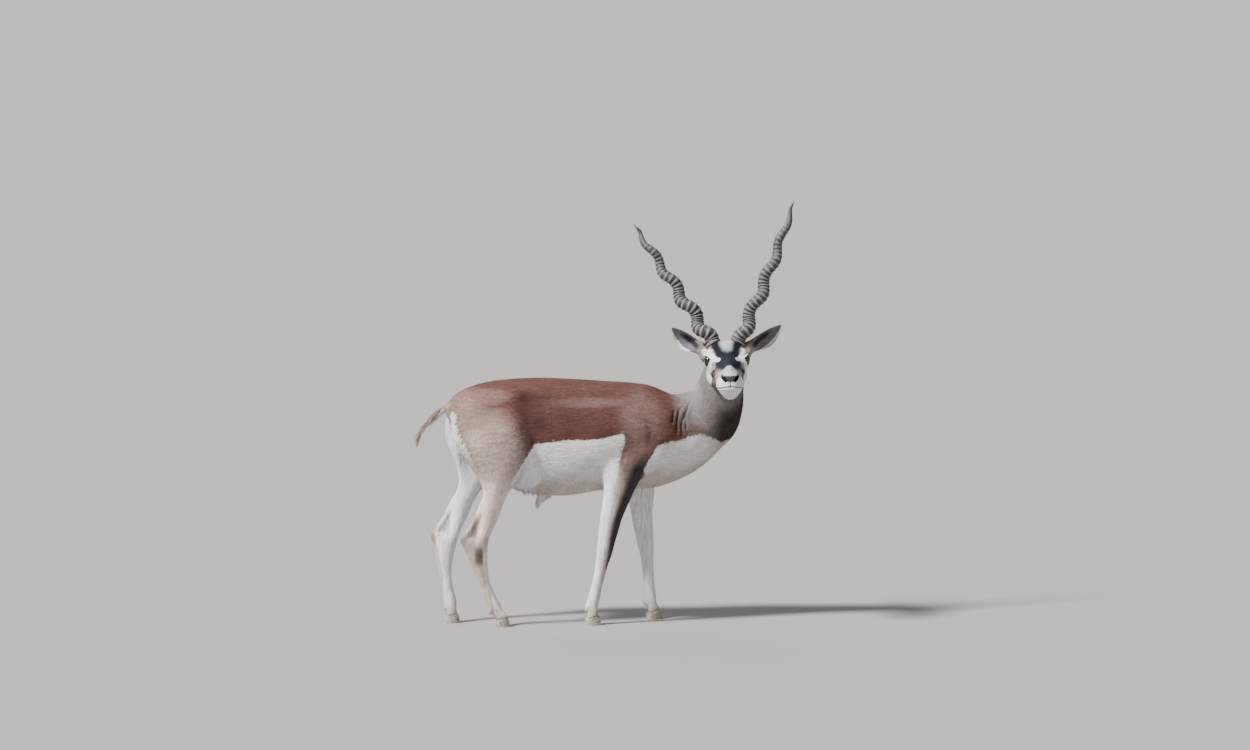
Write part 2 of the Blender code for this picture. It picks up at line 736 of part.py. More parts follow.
def combine(target, meshes, operation, solver="EXACT"):
    """One Boolean of a node with a collection of closed meshes, applied."""
    group = bpy.data.collections.new("combine")
    bpy.context.scene.collection.children.link(group)
    helpers = []
    for mesh in meshes:
        helper = bpy.data.objects.new("helper", mesh)
        group.objects.link(helper)
        helper.hide_render = True
        helper.display_type = "WIRE"
        helpers.append(helper)
    boolean = target.modifiers.new("Combine", "BOOLEAN")
    boolean.operation = operation
    boolean.solver = solver
    boolean.operand_type = "COLLECTION"
    boolean.collection = group
    apply_modifiers(target)
    for helper in helpers:
        bpy.data.objects.remove(helper, do_unlink=True)
    bpy.data.collections.remove(group)
    largest_part(target)


def take(source, name, material, inner, outer):
    """Parts a node from its source: inner bounds the node, outer is cleared from the source."""
    piece = add_object(name, source.data.copy(), material)
    combine(piece, [inner], "INTERSECT")
    combine(source, [outer], "DIFFERENCE")
    return piece


def take_beyond(source, name, material, point, normal, hint, size):
    """Parts off all that lies beyond a plane, within a box of the given size."""
    normal = np.array(normal, float) / np.linalg.norm(normal)
    inner = region_mesh(np.array(point) + normal * SEAM_GAP, normal, hint, *size)
    outer = region_mesh(point, normal, hint, *size)
    return take(source, name, material, inner, outer)


def leg_wedge(leg, grow):
    """The space a leg takes below its oblique cut, raised by grow."""
    side = 1 if leg.endswith("left") else -1
    if leg.startswith("fore"):
        inner, outer, low, slope, x_range = 0.030, 0.150, 0.376, 0.94, (-0.06, 0.19)
    else:
        inner, outer, low, slope, x_range = 0.026, 0.150, 0.374, 0.58, (-0.46, -0.252)
    shift = swing(leg, low + 0.03)
    rise = grow * math.hypot(1, slope)
    outline = [
        (side * inner, low + rise),
        (side * outer, low + rise + slope * (outer - inner)),
        (side * outer, -0.05),
        (side * inner, -0.05),
    ]
    return wedge_mesh([x + shift for x in x_range], outline)


NECK_CUT = ((0.318, 0.0, 0.600), (0.78, 0.0, 0.63))
HEAD_CUT = ((0.0325, 0.0, -0.0425), (0.629, 0.0, 0.777))
TAIL_CUT = ((-0.470, 0.0, 0.644), (-0.84, 0.0, -0.54))

# The body is thinned first, so both faces of every cut share one outline
torso = build_body_skin()
thin_out(torso, BODY_TRIANGLES)
torso.name = "torso"
torso.data.materials.append(RUFOUS_COAT)
legs = {}
for leg in LEGS:
    legs[leg] = take(
        torso,
        leg.replace("_", "_leg_", 1),
        RUFOUS_COAT,
        leg_wedge(leg, 0.0),
        leg_wedge(leg, SEAM_GAP),
    )
tail = take_beyond(torso, "tail", RUFOUS_COAT, *TAIL_CUT, (0, 1, 0), (0.035, 0.05, 0.3))
neck = take_beyond(torso, "neck", GREY_COAT, *NECK_CUT, (0, 1, 0), (0.4, 0.5, 0.8))
head_point, head_normal = to_world(HEAD_CUT[0]), turn_to_world(HEAD_CUT[1])
combine(
    neck,
    [region_mesh(head_point, head_normal, (0, 0, 1), 0.3, 0.3, 0.5)],
    "DIFFERENCE",
)

# Head: cut wide of its seam, thinned, then cut true
head = build_head_skin()
combine(
    head,
    [region_mesh(head_point - head_normal * 0.004, -head_normal, (0, 0, 1), 0.3, 0.3, 0.5)],
    "DIFFERENCE",
)
thin_out(head, HEAD_TRIANGLES)
head.name = "head"
head.data.materials.append(GREY_COAT)
combine(
    head,
    [region_mesh(head_point + head_normal * SEAM_GAP, -head_normal, (0, 0, 1), 0.3, 0.3, 0.5)],
    "DIFFERENCE",
)


def claw_mesh(leg, sign):
    """One half of a cloven hoof: flat below, sloped at the coronet, drawn out to the toe."""
    sides = 14
    turn = np.linspace(0, 2 * math.pi, sides, endpoint=False)
    middle = (TOES[leg], stand_out(leg, 0.0) + sign * TOE_SPREAD)
    levels = [
        (0.0, 0.44, 0.90, 0.000),
        (0.003, 0.50, 1.00, 0.000),
        (0.5, 0.46, 0.98, -0.0015),
        (1.0, 0.405, 0.92, -0.0030),
    ]
    rings = np.empty((len(levels), sides, 3))
    for ring, (level, length, width, back) in zip(rings, levels):
        lengthwise, wide = np.cos(turn), np.sin(turn)
        ring[:, 0] = middle[0] + back + HOOF_LENGTH * length * lengthwise
        taper = 1 - 0.42 * np.clip(lengthwise, 0, 1) ** 2
        ring[:, 1] = middle[1] + HOOF_HALF_WIDTH * width * wide * taper
        top = CORONET_HEIGHT + CORONET_SLOPE * (ring[:, 0] - middle[0]) - SEAM_GAP * 1.2
        ring[:, 2] = level if level < 0.01 else level * top
    return skin_rings("claw", rings)


for leg in LEGS:
    cut = (TOES[leg], stand_out(leg, 0.0), CORONET_HEIGHT)
    down = (CORONET_SLOPE, 0.0, -1.0)
    combine(legs[leg], [region_mesh(cut, down, (0, 1, 0), 0.08, 0.1, 0.1)], "DIFFERENCE")
    outward = 1 if leg.endswith("left") else -1
    for sign in (-1, 1):
        place = "outer" if sign == outward else "inner"
        add_object("hoof_" + leg + "_" + place, claw_mesh(leg, sign), HOOF_HORN)


def lock_mesh(root, bend, tip, wide, thick, sides=4):
    """A flat, tapered lock of hair, from root to tip by way of bend."""
    root, bend, tip = (np.array(p, float) for p in (root, bend, tip))
    rings = []
    for share in (0.0, 0.45, 0.8, 1.0):
        centre = root * (1 - share) ** 2 + 2 * bend * share * (1 - share) + tip * share**2
        along = (bend - root) * (1 - share) + (tip - bend) * share
        axes = frame_of(along, (0, 1, 0.2))
        size = (1 - share) ** 0.6 + 0.10
        ring = [
            centre
            + axes[:, 0] * wide * size * math.cos(angle)
            + axes[:, 1] * thick * size * math.sin(angle)
            for angle in np.linspace(0, 2 * math.pi, sides, endpoint=False)
        ]
        rings.append(ring)
    return skin_rings("lock", np.array(rings))


def tail_locks():
    """Hair along the tail: a thin fringe on each edge and a wisp at the tip."""
    line = through(TAIL_STATIONS, 40)
    locks = []
    for share, spread, length, lean in (
        (0.56, 0.006, 0.042, 0.50),
        (0.74, 0.005, 0.046, 0.35),
        (0.90, 0.003, 0.050, 0.12),
    ):
        at = int(share * 39)
        along = line[min(at + 1, 39), :3] - line[at - 1, :3]
        along /= np.linalg.norm(along)
        for sign in (-1, 1):
            root = line[at, :3] + np.array((0, sign * spread, 0)) - along * 0.006
            out = along + np.array((0.10, sign * lean * 0.4, -lean))
            out /= np.linalg.norm(out)
            bend = root + along * length * 0.4 + out * length * 0.2
            tip = root + out * length * 0.75 + np.array((0, 0, -0.35)) * length
            locks.append(lock_mesh(root, bend, tip, 0.0062, 0.0030))
    return locks


combine(tail, tail_locks(), "UNION", "MANIFOLD")


def ear_mesh(side):
    """A cupped ear: a tube at its root that opens forwards into a pointed leaf."""
    root, along, length = ear_axis(side)
    sign = 1 if side == "left" else -1
    axes = frame_of(along, turn_to_world((0.92, sign * 0.38, -0.05)))
    front, across = axes[:, 0], axes[:, 1]
    # share, half width, depth behind, how far the cup is filled
    leaf = np.array(
        [
            (0.00, 0.0205, 0.0150, 1.00),
            (0.07, 0.0216, 0.0162, 0.95),
            (0.15, 0.0236, 0.0174, 0.62),
            (0.24, 0.0258, 0.0182, 0.18),
            (0.35, 0.0280, 0.0180, 0.00),
            (0.47, EAR_HALF_WIDTH, 0.0168, 0.00),
            (0.60, 0.0270, 0.0148, 0.00),
            (0.73, 0.0220, 0.0120, 0.00),
            (0.85, 0.0146, 0.0082, 0.00),
            (0.94, 0.0074, 0.0048, 0.00),
            (1.00, 0.0022, 0.0020, 0.10),
        ]
    )
    arc = np.linspace(-math.pi / 2, math.pi / 2, 9)
    rings = []
    for share, wide, behind, fill in leaf:
        centre = root + along * (EAR_START + SEAM_GAP + (length - EAR_START) * share)
        centre = centre + across * sign * EAR_BOW * math.sin(math.pi * share)
        wall = min(0.0026, behind * 0.4)
        ring = []
        for angle in arc:
            ring.append(centre + across * wide * math.sin(angle) - front * behind * math.cos(angle))
        for angle in arc[::-1]:
            hollow = -(behind - wall) * math.cos(angle)
            filled = 0.0135 * math.cos(angle)
            deep = hollow * (1 - fill) + filled * fill + 0.0008
            ring.append(centre + across * (wide - wall * (1 - fill)) * math.sin(angle) + front * deep)
        rings.append(ring)
    return skin_rings("ear", np.array(rings))


# Horn sizes: share of length, radius, ridge height
HORN_TAPER = [
    (0.00, 1.00, 0.0014),
    (0.10, 0.86, 0.0020),
    (0.25, 0.79, 0.0021),
    (0.45, 0.75, 0.0019),
    (0.62, 0.64, 0.0015),
    (0.76, 0.54, 0.0009),
    (0.88, 0.38, 0.0002),
    (0.95, 0.22, 0.0),
    (1.00, 0.05, 0.0),
]
HORN_RIDGES = 34
HORN_RIDGED = 0.84
HORN_SIDES = 12


def horn_mesh(side):
    """A corkscrew horn with raised rings that fade towards a smooth tip."""
    shares = [0.0]
    for k in range(HORN_RIDGES):
        low, high = ((k + u) / HORN_RIDGES for u in (0.0, 1.0))
        low, high = (HORN_RIDGED * (0.80 * u + 0.20 * u * u) for u in (low, high))
        shares += [low + (high - low) * 0.55, low + (high - low) * 0.999]
    shares += list(np.linspace(HORN_RIDGED, 1.0, 11)[1:])
    shares = np.array(shares)
    line = horn_line(side, shares)
    nearby = horn_line(side, shares + 1e-3) - horn_line(side, shares - 1e-3)
    table = np.array(HORN_TAPER)
    radius = HORN_RADIUS * np.interp(shares, table[:, 0], table[:, 1])
    ridge = np.interp(shares, table[:, 0], table[:, 2])
    turn = np.linspace(0, 2 * math.pi, HORN_SIDES, endpoint=False)
    rings = []
    for k, centre in enumerate(line):
        axes = frame_of(nearby[k], turn_to_world((1, 0, 0)))
        crest = ridge[k] if k % 2 else -0.4 * ridge[k]
        if shares[k] > HORN_RIDGED or k == 0:
            crest = 0.0
        size = radius[k] + crest
        rings.append(
            centre
            + np.outer(np.cos(turn), axes[:, 0]) * size
            + np.outer(np.sin(turn), axes[:, 1]) * size
        )
    return skin_rings("horn", np.array(rings))


def eye_ball(side, grow):
    """The eyeball, or the hollow for it when it is grown."""
    sign = 1 if side == "left" else -1
    place = (EYE_PLACE[0], sign * EYE_PLACE[1], EYE_PLACE[2])
    return ball_mesh("eye", place, [EYE_RADIUS + grow] * 3, HEAD_FRAME, 18)


def lid_opening(side):
    """The almond between the lids, looking out and forwards."""
    sign = 1 if side == "left" else -1
    look = np.array((EYE_LOOK[0], sign * EYE_LOOK[1], EYE_LOOK[2]))
    look /= np.linalg.norm(look)
    axes = frame_of(look, (1, 0, -0.25))
    place = np.eye(4)
    place[:3, :3] = HEAD_FRAME[:3, :3] @ axes
    place[:3, 3] = to_world(
        np.array((EYE_PLACE[0], sign * EYE_PLACE[1], EYE_PLACE[2])) + look * EYE_RADIUS
    )
    return ball_mesh("opening", (0, 0, 0), (*LID_OPENING, 0.011), place, 16)


def mouth_groove():
    """A thin tube let into the lips along the line of the mouth."""
    work = bmesh.new()
    work.from_mesh(head.data)
    surface = BVHTree.FromBMesh(work)
    centre = to_world((MOUTH_CENTRE, 0, MOUTH_LEVEL))
    stations = []
    for angle in np.radians(np.linspace(-98, 98, 25)):
        rise = 0.003 * abs(math.sin(angle)) ** 3 - 0.0012 * math.cos(angle) ** 6
        depth = 1.0 - 0.75 * ease(1.35, 1.7, abs(angle))
        outward = turn_to_world((math.cos(angle), math.sin(angle), 0.0))
        start = centre + turn_to_world((0, 0, 1)) * rise
        hit = surface.ray_cast(Vector(start), Vector(outward))[0]
        if hit is not None:
            stations.append((*hit, 0.0016 * depth, 0.0026 * depth))
    work.free()
    return tube_mesh("mouth", stations, tuple(turn_to_world((0, 0, 1))), 30, 6)


def nostril(side):
    """A comma-shaped opening, let into one side of the nose pad."""
    sign = 1 if side == "left" else -1
    axes = frame_of((0.95, sign * 0.62, 0.15), (0.0, 1.0, sign * 0.55))
    place = np.eye(4)
    place[:3, :3] = HEAD_FRAME[:3, :3] @ axes
    place[:3, 3] = to_world((NOSTRIL_PLACE[0], sign * NOSTRIL_PLACE[1], NOSTRIL_PLACE[2]))
    return ball_mesh("nostril", (0, 0, 0), (0.0084, 0.0042, 0.0100), place, 12)


# Seats for horns and ears, sockets, lids, nostrils and mouth are cut from the head
cutters = [[mouth_groove()]]
for side in SIDES:
    near, far = horn_line(side, (0.0, 0.002))
    along = (far - near) / np.linalg.norm(far - near)
    cutters.append([post_mesh(near - along * SEAM_GAP, along, HORN_RADIUS + 0.003, 0.03)])
    root, reach, _ = ear_axis(side)
    start = root + reach * EAR_START
    cutters.append([post_mesh(start, reach, 0.0262, 0.04)])
    cutters += [[eye_ball(side, SEAM_GAP), lid_opening(side)], [nostril(side)]]
for cutter in cutters:
    combine(head, cutter, "DIFFERENCE")
for side in SIDES:
    add_object("horn_" + side, horn_mesh(side), HORN_SHEATH)
    add_object("ear_" + side, ear_mesh(side), RUFOUS_COAT)
    add_object("eye_" + side, eye_ball(side, 0.0), EYE_GLOSS)

# The origin goes to the middle of the animal's footprint box
nodes = [made for made in bpy.data.objects if made.type == "MESH"]
reach = np.concatenate([points_of(node.data) for node in nodes])
low, high = reach.min(0), reach.max(0)
shift = -np.array(((low[0] + high[0]) / 2, (low[1] + high[1]) / 2, low[2]))
for node in nodes:
    set_points(node.data, points_of(node.data) + shift)
print("shift", *np.round(shift, 5), "size", *np.round(high - low, 4))
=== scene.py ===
"""A standing young blackbuck buck, life size, dressed over its solid frame.

Units are metres. +X runs along the body to the chest, +Y to the animal's left, +Z up.
"""

import json
import math

import bmesh
import bpy
import numpy as np
from mathutils import Matrix, Vector

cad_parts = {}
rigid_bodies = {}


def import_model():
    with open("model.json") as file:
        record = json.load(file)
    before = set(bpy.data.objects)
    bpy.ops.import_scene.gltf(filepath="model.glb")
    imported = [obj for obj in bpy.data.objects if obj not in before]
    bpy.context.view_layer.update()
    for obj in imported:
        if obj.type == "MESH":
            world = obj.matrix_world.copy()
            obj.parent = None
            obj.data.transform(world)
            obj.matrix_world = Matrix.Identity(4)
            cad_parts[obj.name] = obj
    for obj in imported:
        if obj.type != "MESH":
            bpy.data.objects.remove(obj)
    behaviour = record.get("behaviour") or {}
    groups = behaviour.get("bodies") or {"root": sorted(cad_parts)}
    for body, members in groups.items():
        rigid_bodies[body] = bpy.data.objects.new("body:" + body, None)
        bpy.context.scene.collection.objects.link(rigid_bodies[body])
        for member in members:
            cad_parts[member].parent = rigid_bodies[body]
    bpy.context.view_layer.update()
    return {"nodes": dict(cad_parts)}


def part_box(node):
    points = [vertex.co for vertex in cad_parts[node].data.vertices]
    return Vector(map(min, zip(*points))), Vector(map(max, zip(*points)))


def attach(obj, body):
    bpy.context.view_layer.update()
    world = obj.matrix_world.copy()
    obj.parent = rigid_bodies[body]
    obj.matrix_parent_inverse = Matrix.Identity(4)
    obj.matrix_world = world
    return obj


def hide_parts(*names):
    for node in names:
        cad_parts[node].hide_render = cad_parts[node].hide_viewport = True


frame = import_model()

# The view: a long lens from well off, looking a little down on the animal's right side.
# Its target is the middle of the photograph's frame, set over the ground under the body.
VIEW_TARGET = Vector((0.06837, 0.15173, 0.73174))
VIEW_AZIMUTH = math.radians(-8)
VIEW_ELEVATION = math.radians(5.5)
VIEW_DISTANCE = 20.8
LENS_MM = 201.3
SENSOR_MM = 36.0


def placed(name, data):
    """A new object at the origin of the scene."""
    made = bpy.data.objects.new(name, data)
    bpy.context.scene.collection.objects.link(made)
    return made


level = math.cos(VIEW_ELEVATION)
away = Vector(
    (math.sin(VIEW_AZIMUTH) * level, -math.cos(VIEW_AZIMUTH) * level, math.sin(VIEW_ELEVATION))
)
camera = placed("camera", bpy.data.cameras.new("camera"))
camera.location = VIEW_TARGET + away * VIEW_DISTANCE
camera.rotation_euler = away.to_track_quat("Z", "Y").to_euler()
camera.data.lens = LENS_MM
camera.data.sensor_width = SENSOR_MM
camera.data.clip_end = 200.0
bpy.context.scene.camera = camera

# The studio: a plain pale floor, a pale room, a broad warm key from the upper left
# and a wide soft fill from the right, as soft as a bright hazy sky.
FLOOR_TONE = (0.30, 0.288, 0.277)
FLOOR_REACH = 120.0
ROOM_TONE = (0.80, 0.84, 0.90)
ROOM_STRENGTH = 0.31
# name, where it stands, how many degrees wide it is, strength, colour
LAMPS = (
    ("key", (-5.2, -2.3, 6.4), 9.0, 9.0, (1.0, 0.985, 0.965)),
    ("fill", (5.0, -4.0, 2.6), 60.0, 0.30, (0.88, 0.94, 1.0)),
    ("rim", (-1.5, 5.2, 4.6), 35.0, 0.8, (1.0, 0.97, 0.93)),
)


def plain_material(name, colour, roughness):
    """A material of one colour, for a pattern to be built on."""
    material = bpy.data.materials.new(name)
    material.use_nodes = True
    shader = material.node_tree.nodes["Principled BSDF"]
    shader.inputs["Base Color"].default_value = (*colour, 1.0)
    shader.inputs["Roughness"].default_value = roughness
    return material


def new_piece(name, mesh, material):
    """A finished mesh as an object at the origin, with its finish."""
    mesh.materials.clear()
    mesh.materials.append(material)
    return placed(name, mesh)


def made_mesh(work, name):
    mesh = bpy.data.meshes.new(name)
    work.to_mesh(mesh)
    work.free()
    return mesh


work = bmesh.new()
bmesh.ops.create_grid(work, x_segments=8, y_segments=8, size=FLOOR_REACH)
floor = new_piece("floor", made_mesh(work, "floor"), plain_material("pale_floor", FLOOR_TONE, 0.9))

room = bpy.data.worlds.new("room")
room.use_nodes = True
room.node_tree.nodes["Background"].inputs["Color"].default_value = (*ROOM_TONE, 1.0)
room.node_tree.nodes["Background"].inputs["Strength"].default_value = ROOM_STRENGTH
bpy.context.scene.world = room
for name, place, softness, strength, tint in LAMPS:
    lamp = placed(name, bpy.data.lights.new(name, "SUN"))
    lamp.data.angle = math.radians(softness)
    lamp.data.energy = strength
    lamp.data.color = tint
    lamp.location = place
    lamp.rotation_euler = Vector(place).to_track_quat("Z", "Y").to_euler()

# The skin: hide over flesh, from the lips to the coronets of the hooves, in one piece.
# The solids of flesh are joined, smoothed and made fine, and lie under the coat.
FLESH = ("torso", "neck", "head", "fore_leg_right", "fore_leg_left")
FLESH += ("hind_leg_right", "hind_leg_left", "ear_right", "ear_left")
MIDLINE = 0.09231
HEAD_SEAT = (0.35088, 0.04231, 0.796)
HEAD_FRAME = (
    Matrix.Translation(HEAD_SEAT)
    @ Matrix.Rotation(math.radians(-95), 4, "Z")
    @ Matrix.Rotation(math.radians(8.4), 4, "Y")
    @ Matrix.Rotation(math.radians(1.6), 4, "X")
)
HEAD_TURN = np.array(HEAD_FRAME.to_3x3())
EYE_PLACE = (0.121, 0.0490, 0.016)
EYE_RADIUS = 0.0180
EYE_LOOK = (0.42, 0.90, 0.10)
# half length and half height of the opening between the lids
LID_OPENING = (0.0160, 0.0108)
EYE_ZONE = 0.027
NOSTRIL = ((0.0140, -0.0105), (0.0193, -0.0060), (0.0255, 0.0010))
GLAND_SLIT = ((0.165, 0.043, -0.005), (0.149, 0.044, -0.030))
# folds on the inner side of the turned neck: x and height along each crease
NECK_CREASES = (
    ((0.198, 0.640), (0.191, 0.600)),
    ((0.218, 0.648), (0.2045, 0.608), (0.2045, 0.5665)),
    ((0.233, 0.640), (0.218, 0.591), (0.2195, 0.558)),
    ((0.250, 0.6680), (0.231, 0.624), (0.232, 0.578)),
)
JOIN_SWELL = 0.0004
SKIN_VOXEL = 0.0018
SKIN_TRIANGLES = 194000
# the dock of the tail: x, height, half width
TAIL_CORE = (
    (-0.420, 0.668, 0.018), (-0.457, 0.657, 0.0145), (-0.493, 0.638, 0.0115),
    (-0.526, 0.607, 0.0085), (-0.550, 0.580, 0.0055), (-0.559, 0.566, 0.0025),
)
# how deep the skin lies under the coat: on the body, the legs and the head
BODY_DEPTH, LEG_DEPTH, HEAD_DEPTH = 0.0022, 0.0012, 0.0008


def ramp(low, high, values):
    """A smooth step from 0 at low to 1 at high."""
    share = np.clip((values - low) / (high - low), 0.0, 1.0)
    return share * share * (3 - 2 * share)


def between(values, start, full, fading, end):
    """1 from full to fading, easing to 0 at start and end."""
    return ramp(start, full, values) * (1 - ramp(fading, end, values))


def bump_at(gap, middle, width):
    """A soft hump of height 1 where gap is middle."""
    return np.exp(-(((gap - middle) / width) ** 2))


def unit(vectors):
    """The same directions at length 1."""
    return vectors / np.linalg.norm(vectors, axis=-1)[..., None]


def on_side(place, sign):
    """A place of the right half of the head, set on the side that sign gives."""
    return np.array((place[0], sign * place[1], place[2]))


def to_head(points):
    """World points in the head's frame: x to the nose, y to its left, z to the crown."""
    return (points - np.array(HEAD_SEAT)) @ HEAD_TURN


def from_head(points):
    return points @ HEAD_TURN.T + HEAD_SEAT


def head_share(points):
    """1 on the head and ears, 0 on the body."""
    at = to_head(points)
    share = ramp(-0.03, 0.02, at[:, 0] + 0.7 * (at[:, 2] + 0.03))
    forward = points[:, 0] + 0.2 * ramp(0.74, 0.79, points[:, 2])
    return share * ramp(0.60, 0.66, points[:, 2]) * ramp(0.20, 0.24, forward)


def read_vectors(mesh, what):
    """The places ("co") or normals of a mesh's points, one to a row."""
    values = np.empty(len(mesh.vertices) * 3, np.float32)
    mesh.vertices.foreach_get(what, values)
    return values.reshape(-1, 3).astype(float)


def set_points(mesh, points):
    mesh.vertices.foreach_set("co", points.astype(np.float32).ravel())
    mesh.update()


def applied(target):
    """Fixes an object's modifiers into its own mesh."""
    bpy.context.view_layer.update()
    graph = bpy.context.evaluated_depsgraph_get()
    baked = bpy.data.meshes.new_from_object(target.evaluated_get(graph))
    target.modifiers.clear()
    target.data = baked


def relax(mesh, rounds, weights, pulls=(0.5, -0.53)):
    """Smooths a mesh by its own weights, pulling in and swelling back in turn."""
    ends = np.empty(len(mesh.edges) * 2, np.int32)
    mesh.edges.foreach_get("vertices", ends)
    first, second = ends.reshape(-1, 2).T
    total = len(mesh.vertices)
    joins = np.bincount(first, minlength=total) + np.bincount(second, minlength=total)
    points = read_vectors(mesh, "co")
    for pull in pulls * rounds:
        for axis in range(3):
            line = points[:, axis]
            mean = np.bincount(first, line[second], minlength=total)
            mean += np.bincount(second, line[first], minlength=total)
            points[:, axis] = line + pull * weights * (mean / joins - line)
    set_points(mesh, points)


def round_tube(work, centres, radii, sides):
    """Spans a closed tube over centres, ring by ring."""
    made = []
    for k, (centre, radius) in enumerate(zip(centres, radii)):
        ahead = centres[min(k + 1, len(centres) - 1)] - centres[max(k - 1, 0)]
        turn = ahead.to_track_quat("Z", "Y").to_matrix().to_4x4()
        place = Matrix.Translation(centre) @ turn
        ring = bmesh.ops.create_circle(work, segments=sides, radius=radius, matrix=place)["verts"]
        if made:
            edges = [e for v in made[-1] + ring for e in v.link_edges if len(e.link_faces) < 2]
            bmesh.ops.bridge_loops(work, edges=list(set(edges)))
        made.append(ring)
    for ring in (made[0], made[-1]):
        bmesh.ops.contextual_create(work, geom=ring)


def line_distance(points, line):
    """Distance to a broken line, and how far along it the nearest point lies."""
    nearest, reached = np.full(len(points), 9.0), np.zeros(len(points))
    for k, (start, end) in enumerate(zip(line[:-1], line[1:])):
        start, end = np.array(start), np.array(end)
        run = end - start
        share = np.clip((points - start) @ run / (run @ run), 0, 1)
        gap = np.linalg.norm(points - start - share[:, None] * run, axis=1)
        reached = np.where(gap < nearest, (k + share) / (len(line) - 1), reached)
        nearest = np.minimum(nearest, gap)
    return nearest, reached


def gap_to(line, *columns):
    """Distance to a broken line, from points given by their columns."""
    return line_distance(np.column_stack(columns), line)[0]


def eye_axes(sign):
    """Centre of an eye in the head's frame, and its directions along, up and out."""
    look = unit(on_side(EYE_LOOK, sign))
    along = unit(np.cross(look, (0.17 * sign, 0.0, sign)))
    return on_side(EYE_PLACE, sign), along, np.cross(along, look) * sign, look


def lid_reach(at, sign):
    """How far points lie from the middle of an eye's opening: 1 at the lid's edge."""
    centre, along, up, look = eye_axes(sign)
    out = at - centre
    size = np.linalg.norm(out, axis=1)
    facing = out @ look / size
    reach = np.hypot(out @ along / size / LID_OPENING[0], out @ up / size / LID_OPENING[1])
    return np.where(facing > 0, reach * EYE_RADIUS, 9.0), size


def mouth_gap(at):
    """Height over the line between the lips, the angle about the muzzle, and fading."""
    angle = np.arctan2(at[:, 1], at[:, 0] - 0.215)
    turn = np.abs(angle)
    level = -0.0285 - 0.0095 * ramp(0.0, 1.0, turn) - 0.0020 * ramp(1.0, 1.7, turn)
    return at[:, 2] - level, angle, (1 - ramp(1.40, 1.75, turn)) * ramp(0.18, 0.20, at[:, 0])


joined = bpy.data.collections.new("joined_flesh")
bpy.context.scene.collection.children.link(joined)
for name in FLESH:
    work = bmesh.new()
    work.from_mesh(frame["nodes"][name].data)
    bmesh.ops.remove_doubles(work, verts=work.verts, dist=1e-6)
    work.normal_update()
    for v in work.verts:
        v.co += v.normal * JOIN_SWELL
    lump = bpy.data.objects.new("flesh_" + name, made_mesh(work, "flesh_" + name))
    (bpy.context.scene.collection if name == "torso" else joined).objects.link(lump)
skin = bpy.data.objects["flesh_torso"]
join = skin.modifiers.new("Join", "BOOLEAN")
join.operation, join.operand_type, join.solver = "UNION", "COLLECTION", "MANIFOLD"
join.collection = joined
rounding = skin.modifiers.new("Round", "SUBSURF")
rounding.levels = rounding.render_levels = 2
applied(skin)
for lump in list(joined.objects):
    bpy.data.objects.remove(lump)
bpy.data.collections.remove(joined)

work = bmesh.new()
work.from_mesh(skin.data)
for sign in (-1, 1):
    place = Matrix.Translation(HEAD_FRAME @ Vector(on_side(EYE_PLACE, sign)))
    bmesh.ops.create_uvsphere(
        work, u_segments=32, v_segments=20, radius=EYE_RADIUS, matrix=place
    )
dock = [Vector((x, MIDLINE, z)) for x, z, _ in TAIL_CORE]
round_tube(work, dock, [size for _, _, size in TAIL_CORE], 20)
bmesh.ops.recalc_face_normals(work, faces=work.faces)
work.to_mesh(skin.data)
work.free()
remesh = skin.modifiers.new("Fuse", "REMESH")
remesh.mode, remesh.voxel_size, remesh.adaptivity = "VOXEL", SKIN_VOXEL, 0.0
applied(skin)

spots = read_vectors(skin.data, "co")
headness = head_share(spots)
trunkness = ramp(0.42, 0.50, spots[:, 2]) * (1 - headness)
relax(skin.data, 40, trunkness, (0.5,))
relax(skin.data, 12, 1 - 0.6 * headness)
depth = LEG_DEPTH + (BODY_DEPTH - LEG_DEPTH) * trunkness
depth = depth * (1 - headness) + HEAD_DEPTH * headness
sunk = read_vectors(skin.data, "co") - read_vectors(skin.data, "normal") * depth[:, None]
set_points(skin.data, sunk)

# A finer mesh for the lips, nostrils and lids, then their folds
x, y, z = to_head(read_vectors(skin.data, "co")).T
fine = (x > 0.234) & (z > -0.06)
fine |= np.linalg.norm(np.column_stack([x, np.abs(y), z]) - EYE_PLACE, axis=1) < EYE_ZONE
work = bmesh.new()
work.from_mesh(skin.data)
chosen = [e for e in work.edges if fine[e.verts[0].index] and fine[e.verts[1].index]]
bmesh.ops.subdivide_edges(work, edges=chosen, cuts=1, use_grid_fill=True, smooth=1.0)
bmesh.ops.triangulate(work, faces=work.faces)
work.to_mesh(skin.data)
work.free()

at = to_head(read_vectors(skin.data, "co"))
x, y, z = at.T
side = np.abs(y)
shift = np.zeros_like(at)
front = ramp(0.240, 0.248, x)
gap = gap_to(NOSTRIL, side, z)
shift[:, 0] -= front * 0.0085 * (1 - ramp(0.0020, 0.0052, gap))
shift[:, 0] += front * 0.0011 * bump_at(gap, 0.0068, 0.0022)
philtrum = between(z, -0.031, -0.027, -0.016, -0.012)
shift[:, 0] -= front * philtrum * 0.0016 * (1 - ramp(0.0004, 0.0030, side))
lift, angle, open_share = mouth_gap(at)
push = 0.0012 * bump_at(lift, 0.0050, 0.0026) + 0.0010 * bump_at(lift, -0.0046, 0.0026)
push = open_share * (push - 0.0036 * (1 - ramp(0.0004, 0.0026, np.abs(lift))))
shift[:, 0] += push * np.cos(angle)
shift[:, 1] += push * np.sin(angle)
gap = gap_to(GLAND_SLIT, x, side, z)
pit = 0.0014 * bump_at(gap, 0.0062, 0.0024) - 0.0034 * (1 - ramp(0.0006, 0.0040, gap))
shift[:, 1] += np.where(y < 0, -1.0, 1.0) * pit * (gap < 0.015)
at = at + shift
